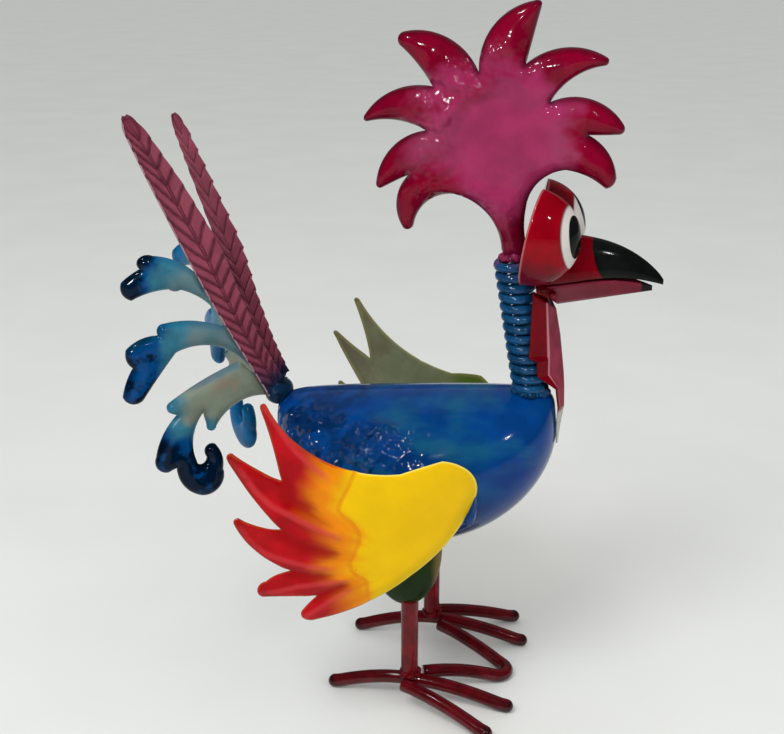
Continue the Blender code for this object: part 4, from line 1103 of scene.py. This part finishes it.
def plume_mesh(name, side, scale, tree, paint):
    """A leaf with a folded midrib, a rounded tip, a smooth back edge and a toothed front one."""
    look = settings("tail")
    count, width = 380, 49
    stations = np.linspace(0, 1, len(PLUME_BACK_EDGE))
    along = np.linspace(0, 1, count)
    back, front = [
        smoothed(read_off(along * stations[-2], stations, edge), 120)
        for edge in (PLUME_BACK_EDGE, PLUME_FRONT_EDGE)
    ]
    half = (front - back) / 2
    unit = half / np.linalg.norm(half, axis=1, keepdims=True)
    middle = (front + back) / 2
    run = middle[-1] - middle[-40]
    run /= np.linalg.norm(run)
    past = np.clip((along - 0.975) / 0.025, 0, 1)
    middle += run * (0.0058 * past**2)[:, None]
    ends = np.sqrt(1 - past**2 * 0.985)
    phase = (along * look.ribs - look.slant * FRONT_SLANT) % 1
    tooth = 0.0010 * (1 - phase) * (1 - past)
    rows = []
    for i in range(count):
        row = []
        for place in np.linspace(-1, 1, width):
            spot = middle[i] + half[i] * place * ends[i]
            spot = spot + unit[i] * tooth[i] * np.clip((place - 0.7) / 0.3, 0, 1)
            fold = 0.003 * (1 - along[i]) * (1 - abs(place))
            spot = np.array(TAIL_ROOT) + (spot + (0, fold, 0) - TAIL_ROOT) * scale
            row.append((spot[0], -side * spot[1], spot[2]))
        rows.append(row)
    mesh = grid_mesh(name, rows)
    keep(mesh, across=np.tile(np.linspace(-1, 1, width), count), along=np.repeat(along, width))
    if side > 0:
        mesh.flip_normals()
    inputs = {"Ribs": float(look.ribs), "Slant": look.slant, "Rib Height": look.rib_height, "Paint": paint}
    return face_outward(thickened(modified(mesh, "NODES", node_group=tree, inputs=inputs), look.sheet))


def make_plumes():
    tree, paint = rib_tree(), plume_paint()
    for side, scale, hand in ((-1, 1.0, "right"), (1, LEFT_PLUME_LENGTH, "left")):
        name = f"plume_{hand}_leaf"
        stand(name, plume_mesh(name, side, scale, tree, paint), "maroon_paint", f"plume_{hand}")


def curl_paint(name, root_blush_and_light, shaded_below, shade_share):
    look = settings("tail")
    paint = Paint(name, 0.15, 0.12)
    rim, lifted = paint.kept("rim"), paint.kept("lifted")
    blue = paint.kept("blue") + paint.shaky(70, 0.08, 4)
    # A root blush under a half starts the curl from a darker teal: painted shadow cast by the plume beside it
    shaded_root = tuple(a + (b - a) * 0.6 for a, b in zip(look.curl_root, look.curl_teal))
    paint.start(look.curl_root if root_blush_and_light > 0.5 else shaded_root, 0.12, 60)
    paint.coat(paint.noise(55, 3).spread(0.48, 0.68), 0.55 * root_blush_and_light, tint(150, 122, 104))
    paint.coat(blue.spread(0.02, 0.38), 1.0, paint.mottle(look.curl_teal, 0.18, 60))
    paint.coat(blue.spread(0.42, 0.72), 1.0, paint.mottle(look.curl_blue, 0.2, 60))
    # Painted light: brighter blue, laid mostly on the left curls, which are painted as lit copies of the
    # right ones
    paint.coat(blue.spread(0.35, 0.65), 0.6 * (1 - shade_share), tint(30, 126, 178))
    edge = rim.spread(0.55, 0.12)
    # Painted highlight: a teal line along the upper rim
    paint.coat(edge * lifted.spread(0.35, 0.85), 0.5, tint(10, 96, 132))
    # Painted shade: the lower parts of the lobes turn nearly black, mostly on the right curls
    under = (lifted + paint.shaky(60, 0.45)).spread(shaded_below, shaded_below - 0.30)
    paint.coat(under * blue.spread(0.62, 0.80), 0.9 * shade_share, look.curl_shade)
    # Painted shade: a dark band along the blue lobes' rounded rim
    paint.coat(edge * blue.spread(0.6, 0.85), 0.65 * shade_share, tint(0, 8, 16))
    return paint.finish(None, blue.spread(0.2, 0.9, 0.30, 0.10))


def curl_cutter():
    """All that lies outside the right plume's inner face, to end the curls' roots there."""
    stations = np.linspace(0, 1, len(PLUME_BACK_EDGE))
    rings = []
    for share in np.linspace(0, 1, 11):
        back, front = [
            Vector(read_off(share, stations, edge)[0]) for edge in (PLUME_BACK_EDGE, PLUME_FRONT_EDGE)
        ]
        unit = (front - back).normalized()
        middle = back.lerp(front, 0.55) + Vector((0, 0.003 * (1 - share), 0))
        back, front = back - unit * 0.0026, front + unit * 0.015
        inner = [point + Vector((0, 0.0024, 0)) for point in (back, middle, front)]
        rings.append([*inner, front - Vector((0, 0.03, 0)), back - Vector((0, 0.03, 0))])
    down = (rings[0][0] - rings[1][0]).normalized() * 0.03
    rings.insert(0, [point + down for point in rings[0]])
    last = (len(rings) - 1) * 5
    ends = [(0, i, i + 1) for i in (1, 2, 3)] + [(last, last + i + 1, last + i) for i in (1, 2, 3)]
    mesh = face_outward(mesh_of("curl_cutter", sum(rings, []), ring_sides(len(rings), 5) + ends))
    cutter = bpy.data.objects.new("curl_cutter", mesh)
    bpy.context.scene.collection.objects.link(cutter)
    return cutter


def make_curls():
    look = settings("tail")
    cutter = curl_cutter()
    for name, (knots, spot, splay, distance, depth, shaded_below, root_blush_and_light) in CURLS.items():
        mesh, plan = puffed(f"{name}_curl_right_shell", knots, look.curl_size,
                            upright_plane(*spot, math.radians(splay)), look.curl_thickness,
                            look.curl_rounding, 0.0017)
        away = np.hypot(plan[:, 0], plan[:, 1] + 0.05)
        blue = np.clip((away - distance[0]) / (distance[1] - distance[0]), 0, 1)
        low = np.clip((-plan[:, 1] - depth[0]) / (depth[1] - depth[0]), 0, 1)
        middle = np.interp(-plan[:, 0], [0, 0.3, 0.8], [-0.03, 0.05, 0.0])
        keep(mesh, blue=np.maximum(blue, low), lifted=np.clip((plan[:, 1] - middle) / 0.1 + 0.5, 0, 1))
        mesh = modified(mesh, "BOOLEAN", operation="DIFFERENCE", object=cutter)
        left = other_side(mesh, f"{name}_curl_left_shell")
        if name == "middle":
            root = Matrix.Translation(MIDDLE_CURL_ROOT)
            swing = Matrix.Rotation(-MIDDLE_LEFT_SWING, 4, "Z")
            droop = Matrix.Rotation(-MIDDLE_LEFT_DROOP, 4, "Y")
            left.transform(root @ swing @ droop @ root.inverted())
        # The right curls take the full painted shade; the left ones a quarter of it, and the brighter blue
        for hand, shell, shade_share in (("right", mesh, 1.0), ("left", left, 0.25)):
            paint = curl_paint(f"{name.title()} {hand} curl enamel", root_blush_and_light, shaded_below, shade_share)
            stand(f"{name}_curl_{hand}_shell", shell, "teal_enamel", f"{name}_curl_{hand}", materials=[paint])
    bpy.data.objects.remove(cutter)


def make_collar():
    paint = weld_paint("Dark blue weld", tint(10, 38, 66))
    shape = bmesh.new()
    bmesh.ops.create_icosphere(shape, subdivisions=5, radius=0.5)
    waves = np.random.default_rng(4).normal(size=(6, 3)) * 9
    for vertex in shape.verts:
        ripple = sum(math.sin(Vector(wave).dot(vertex.co) + 2 * i) for i, wave in enumerate(waves))
        vertex.co *= 0.97 + 0.008 * ripple
    shape.transform(Matrix.Translation((-0.0795, 0, 0.2135)) @ Matrix.Diagonal((0.0195, 0.029, 0.0195, 1)))
    stand("tail_weld", mesh_from("tail_weld", shape), "cobalt_enamel", "tail_collar", materials=[paint])
    seat = ring_points((-0.0760, 0, 0.2150), (1, 0, 0.3), 0.0098, 18, 0.08)
    weld("tail_seat_weld", seat, 0.0018, 5, paint, "cobalt_enamel")


def rod_mesh(name, points, diameter, rounded):
    """A round bar along a smooth line, with domed ends where asked, ground flat on the floor."""
    points = np.array(points)
    steps = distances(points)
    line = smoothed(read_off(np.linspace(0, steps[-1], max(3, round(steps[-1] / 0.0008))), steps, points), 24)
    steps = distances(line)
    radius = diameter / 2
    dome = radius * (1 - np.cos(np.radians([5, 15, 27, 40, 54, 70])))
    start = radius if rounded[0] else 0
    end = steps[-1] - (radius if rounded[1] else 0)
    at = np.linspace(start, end, max(8, round((end - start) / 0.0018)))
    if rounded[0]:
        at = np.concatenate([dome, at])
    if rounded[1]:
        at = np.concatenate([at, steps[-1] - dome[::-1]])
    spine = read_off(at, steps, line)
    size = np.full(len(at), radius)
    for asked, away in zip(rounded, (at, steps[-1] - at)):
        if asked:
            size *= np.sqrt(1 - np.clip(1 - away / radius, 0, 1) ** 2)
    tangent = read_off(at, steps, np.gradient(line, steps, axis=0))
    tangent /= np.linalg.norm(tangent, axis=1, keepdims=True)
    side = np.cross(tangent, (0, 0, 1.0) if abs(tangent[0, 2]) < 0.9 else (1.0, 0, 0))
    side /= np.linalg.norm(side, axis=1, keepdims=True)
    over = np.cross(side, tangent)
    turns = np.linspace(0, math.tau, 28, endpoint=False)
    ring = np.cos(turns)[None, :, None] * side[:, None] + np.sin(turns)[None, :, None] * over[:, None]
    spots = spine[:, None] + ring * size[:, None, None]
    spots[..., 2] = np.maximum(spots[..., 2], 0)
    grid = len(at), len(turns)
    mesh = mesh_of(name, spots.reshape(-1, 3), ring_sides(*grid) + ring_ends(*grid))
    tip = np.minimum(at if rounded[0] else 1, steps[-1] - at if rounded[1] else 1)
    keep(mesh, tip=np.repeat(np.broadcast_to(tip, len(at)), len(turns)))
    return face_outward(mesh)


def toe_axis_z(share):
    look = settings("legs")
    return look.toe / 2 - 0.0006 + look.arch * (1 - min(1, share / 0.9) ** 1.8)


def toe_run(start, tip, side):
    return [
        (start[0] + (tip[0] - start[0]) * s, side * (start[1] + (tip[1] - start[1]) * s), toe_axis_z(s))
        for s in np.linspace(0, 1, 30)
    ]


def toe_paint():
    look = settings("legs")
    paint = Paint("Crimson rod enamel", 0.11, 0.34)
    paint.start(look.toe_crimson, 0.30, 90)
    paint.coat((paint.kept("tip") + paint.shaky(140, 0.002, 4)).spread(0.010, 0.002), 0.85, look.burnt)
    # Painted shade: the toes darken at the bottom, where they meet the floor
    paint.coat(paint.along(2).spread(0.006, 0.001), 0.6, look.burnt)
    return paint.finish(paint.bump(paint.noise(130, 3), 0.0006, 0.5))


def leg_paint():
    paint = Paint("Crimson leg enamel", 0.13, 0.26)
    paint.start(settings("legs").crimson, 0.30, 80)
    paint.coat(paint.along(2).spread(0.034, 0.018), 0.55, tint(62, 6, 14))
    return paint.finish(paint.bump(paint.noise(110, 3), 0.0006, 0.5))


def thigh_paint():
    paint = Paint("Green thigh enamel", 0.18, 0.14)
    z = paint.along(2)
    paint.start(settings("legs").green, 0.30, 60)
    # Painted shade: dark teal on the top of the thigh, where it tucks under the body
    paint.coat(z.spread(0.118, 0.145), 1.0, tint(10, 28, 26))
    paint.coat(z.spread(0.084, 0.077), 0.5, tint(110, 86, 44))
    paint.coat(paint.along(0).spread(0.036, 0.042), 0.6, tint(130, 104, 56))
    return paint.finish()


def toe_loop_line():
    """The middle of the bar that is both feet's inner toe, from the right foot round to the left."""
    slope = math.atan2(LOOP_SHOULDER[1] - LOOP_BEND_RADIUS, LOOP_BEND_X - LOOP_SHOULDER[0])
    bend = [
        (LOOP_BEND_X - LOOP_BEND_RADIUS * (1 - math.cos(turn)), LOOP_BEND_RADIUS * math.sin(turn))
        for turn in np.linspace(math.pi / 2 - slope, 0, 14)
    ]
    knots = np.array([LOOP_START, LOOP_SHOULDER, *bend])
    plan = [
        start + (end - start) * share
        for start, end in zip(knots[:-1], knots[1:])
        for share in np.linspace(0, 1, 8, endpoint=False)
    ]
    reach = LOOP_BEND_X - LOOP_START[0]
    half = [(x, -y, toe_axis_z((x - LOOP_START[0]) / reach)) for x, y in [*plan, knots[-1]]]
    return half + [(x, -y, z) for x, y, z in reversed(half[:-1])]


def make_legs():
    look = settings("legs")
    toes, shins, thighs = toe_paint(), leg_paint(), thigh_paint()
    red_weld = weld_paint("Crimson weld", look.crimson)

    def bar(node, points, diameter, rounded, paint):
        mesh = rod_mesh(f"{node}_bar", points, diameter, rounded)
        stand(f"{node}_bar", mesh, "crimson_enamel", node, materials=[paint])

    for side, hand in ((-1, "right"), (1, "left")):
        y = side * look.spread / 2
        ankle = (LEG_X, look.spread / 2)
        back, middle = [toe_run(ankle, tip, side) for tip in (BACK_TOE_TIP, MIDDLE_TOE_TIP)]
        bar(f"long_toe_{hand}", back[:0:-1] + middle, look.toe, (True, True), toes)
        start = (OUTER_TOE_START_X, look.spread / 2 + look.toe)
        bar(f"outer_toe_{hand}", toe_run(start, OUTER_TOE_TIP, side), look.toe, (False, True), toes)
        shin = [(LEG_X, y, z) for z in np.linspace(toe_axis_z(0) + look.toe * 0.3, LEG_TOP_Z, 20)]
        bar(f"leg_{hand}", shin, look.leg, (False, False), shins)
        shape = bmesh.new()
        bmesh.ops.create_uvsphere(shape, u_segments=64, v_segments=48, radius=0.5)
        place = Matrix.Translation((THIGH_MIDDLE_X, y, THIGH_MIDDLE_Z))
        shape.transform(place @ Matrix.Diagonal((*THIGH_SIZE, 1)))
        name = f"thigh_{hand}_dome"
        stand(name, mesh_from(name, shape), "green_enamel", f"thigh_{hand}", materials=[thighs])
        ring = ring_points((ANKLE_X, y, toe_axis_z(0) + look.toe * 0.5), (0, 0, 1), look.leg / 2, 14, 0.08)
        weld(f"ankle_{hand}_weld", ring, 0.0022, 11 + side, red_weld, "crimson_enamel")
    bar("toe_loop", toe_loop_line(), look.toe, (False, False), toes)


def area_light(name, place, size, power, glint):
    """A round lamp, which either lights the paint or only shows as a glint in its gloss."""
    data = bpy.data.lights.new(name, "AREA")
    data.shape = "DISK"
    data.size = size
    data.energy = power
    light = bpy.data.objects.new(name, data)
    light.location = place
    aim = Vector((0, 0, 0.25)) - Vector(place)
    light.rotation_euler = aim.to_track_quat("-Z", "Y").to_euler()
    light.visible_glossy = glint
    light.visible_diffuse = not glint
    bpy.context.scene.collection.objects.link(light)


def make_stage():
    look = settings("studio")
    scene = bpy.context.scene
    paint = Paint("Pale floor", 0.7, 0.2)
    worn = tuple(value * 0.97 for value in look.floor)
    paint.base = paint.blend(paint.noise(6, 2).spread(0.3, 0.7), worn, look.floor)
    floor = mesh_of("floor", [(-14, -8, 0), (14, -8, 0), (14, 18, 0), (-14, 18, 0)], [(0, 1, 2, 3)])
    floor.transform(Matrix.Translation((0, 0, -0.0002)))
    floor.materials.append(paint.finish())
    piece = bpy.data.objects.new("floor", floor)
    scene.collection.objects.link(piece)
    scene.world = bpy.data.worlds.new("Even studio light")
    scene.world.use_nodes = True
    sky = Nodes(scene.world.node_tree)
    background = sky.tree.nodes["Background"].inputs
    background["Color"].default_value = (0.86, 0.88, 0.90, 1)
    glossy = sky.add("ShaderNodeLightPath", {}, "Is Glossy Ray")
    dimmed = glossy.spread(0.0, 1.0, look.sky, look.sky * look.mirrored_sky, kind="LINEAR")
    sky.feed(background["Strength"], dimmed)
    for name, place, size, power, glint in (
        ("key", (-0.45, -1.1, 1.7), 0.9, look.key, False),
        ("fill", (1.6, -1.2, 1.0), 1.4, look.key * 0.5, False),
        ("glint", (-0.25, -1.3, 1.15), 0.14, look.glint, True),
        ("high_glint", (-0.80, -0.75, 2.05), 0.16, look.glint, True),
        ("side_glint", (0.75, -1.1, 1.35), 0.10, look.glint * 0.35, True),
        ("back_glint", (0.05, 0.9, 1.25), 1.8, look.glint * 0.12, True),
    ):
        area_light(name, place, size, power, glint)
    data = bpy.data.cameras.new("camera")
    data.sensor_width = 36
    data.lens = 56.11
    data.clip_start = 0.01
    camera = bpy.data.objects.new("camera", data)
    camera.location = (0.1751 + CENTRING, -0.780, 0.5226)
    camera.rotation_euler = (math.radians(70.334), 0, math.radians(12.454))
    scene.collection.objects.link(camera)
    scene.camera = camera
    scene.view_settings.view_transform = "Standard"


class ROOSTER_OT_body(bpy.types.Operator):
    """Make the body's enamelled shell"""
    bl_idname = "rooster.body"
    bl_label = "Body"

    def execute(self, context):
        make_body()
        return {"FINISHED"}


class ROOSTER_OT_neck(bpy.types.Operator):
    """Wind the neck's coil and weld it at both ends"""
    bl_idname = "rooster.neck"
    bl_label = "Neck"

    def execute(self, context):
        make_neck()
        return {"FINISHED"}


class ROOSTER_OT_crest(bpy.types.Operator):
    """Make the leaf-shaped crest"""
    bl_idname = "rooster.crest"
    bl_label = "Crest"

    def execute(self, context):
        make_crest()
        return {"FINISHED"}


class ROOSTER_OT_eyes(bpy.types.Operator):
    """Make the painted eye domes"""
    bl_idname = "rooster.eyes"
    bl_label = "Eyes"

    def execute(self, context):
        make_eyes()
        return {"FINISHED"}


class ROOSTER_OT_beak(bpy.types.Operator):
    """Make both halves of the beak"""
    bl_idname = "rooster.beak"
    bl_label = "Beak"

    def execute(self, context):
        make_beak()
        return {"FINISHED"}


class ROOSTER_OT_wattle(bpy.types.Operator):
    """Fold the wattle's sheet"""
    bl_idname = "rooster.wattle"
    bl_label = "Wattle"

    def execute(self, context):
        make_wattle()
        return {"FINISHED"}


class ROOSTER_OT_wings(bpy.types.Operator):
    """Emboss and paint the wings"""
    bl_idname = "rooster.wings"
    bl_label = "Wings"

    def execute(self, context):
        make_wings()
        return {"FINISHED"}


class ROOSTER_OT_plumes(bpy.types.Operator):
    """Rib the two tall plumes"""
    bl_idname = "rooster.plumes"
    bl_label = "Plumes"

    def execute(self, context):
        make_plumes()
        return {"FINISHED"}


class ROOSTER_OT_curls(bpy.types.Operator):
    """Make the tail's curls"""
    bl_idname = "rooster.curls"
    bl_label = "Curls"

    def execute(self, context):
        make_curls()
        return {"FINISHED"}


class ROOSTER_OT_collar(bpy.types.Operator):
    """Weld the tail to the body"""
    bl_idname = "rooster.collar"
    bl_label = "Tail Weld"

    def execute(self, context):
        make_collar()
        return {"FINISHED"}


class ROOSTER_OT_legs(bpy.types.Operator):
    """Make the thighs, legs and toes"""
    bl_idname = "rooster.legs"
    bl_label = "Legs"

    def execute(self, context):
        make_legs()
        return {"FINISHED"}


class ROOSTER_OT_stage(bpy.types.Operator):
    """Lay the floor and set the lights and the camera"""
    bl_idname = "rooster.stage"
    bl_label = "Studio"

    def execute(self, context):
        make_stage()
        return {"FINISHED"}


OPERATORS = (
    ROOSTER_OT_body, ROOSTER_OT_neck, ROOSTER_OT_crest, ROOSTER_OT_eyes, ROOSTER_OT_beak,
    ROOSTER_OT_wattle, ROOSTER_OT_wings, ROOSTER_OT_plumes, ROOSTER_OT_curls, ROOSTER_OT_collar,
    ROOSTER_OT_legs, ROOSTER_OT_stage,
)
GROUPS = {
    "body": BodySettings, "neck": NeckSettings, "crest": CrestSettings, "head": HeadSettings,
    "wing": WingSettings, "tail": TailSettings, "legs": LegSettings, "studio": StudioSettings,
}


class RoosterSettings(bpy.types.PropertyGroup):
    body: PointerProperty(type=BodySettings, name="Body", description="Sizes and colours of the body")
    neck: PointerProperty(type=NeckSettings, name="Neck", description="Sizes and colours of the neck")
    crest: PointerProperty(type=CrestSettings, name="Crest", description="Sizes and colours of the crest")
    head: PointerProperty(type=HeadSettings, name="Head", description="Sizes and colours of the head")
    wing: PointerProperty(type=WingSettings, name="Wings", description="Sizes and colours of the wings")
    tail: PointerProperty(type=TailSettings, name="Tail", description="Sizes and colours of the tail")
    legs: PointerProperty(type=LegSettings, name="Legs", description="Sizes and colours of the legs")
    studio: PointerProperty(type=StudioSettings, name="Studio", description="Floor and lights")


class ROOSTER_PT_pieces(bpy.types.Panel):
    """Lists the rooster's pieces and their settings"""
    bl_label = "Rooster"
    bl_idname = "ROOSTER_PT_pieces"
    bl_space_type = "VIEW_3D"
    bl_region_type = "UI"
    bl_category = "Rooster"

    def draw(self, context):
        for operator in OPERATORS:
            self.layout.operator(operator.bl_idname)
        for label, kind in GROUPS.items():
            box = self.layout.box()
            box.label(text=label.title())
            for key in kind.__annotations__:
                box.prop(getattr(context.scene.rooster, label), key)


CLASSES = (*GROUPS.values(), RoosterSettings, *OPERATORS, ROOSTER_PT_pieces)


def register():
    for item in CLASSES:
        bpy.utils.register_class(item)
    bpy.types.Scene.rooster = PointerProperty(type=RoosterSettings)


def unregister():
    del bpy.types.Scene.rooster
    for item in reversed(CLASSES):
        bpy.utils.unregister_class(item)


def main():
    register()
    for operator in OPERATORS:
        getattr(bpy.ops.rooster, operator.bl_idname.split(".")[1])()


if __name__ == "__main__":
    main()
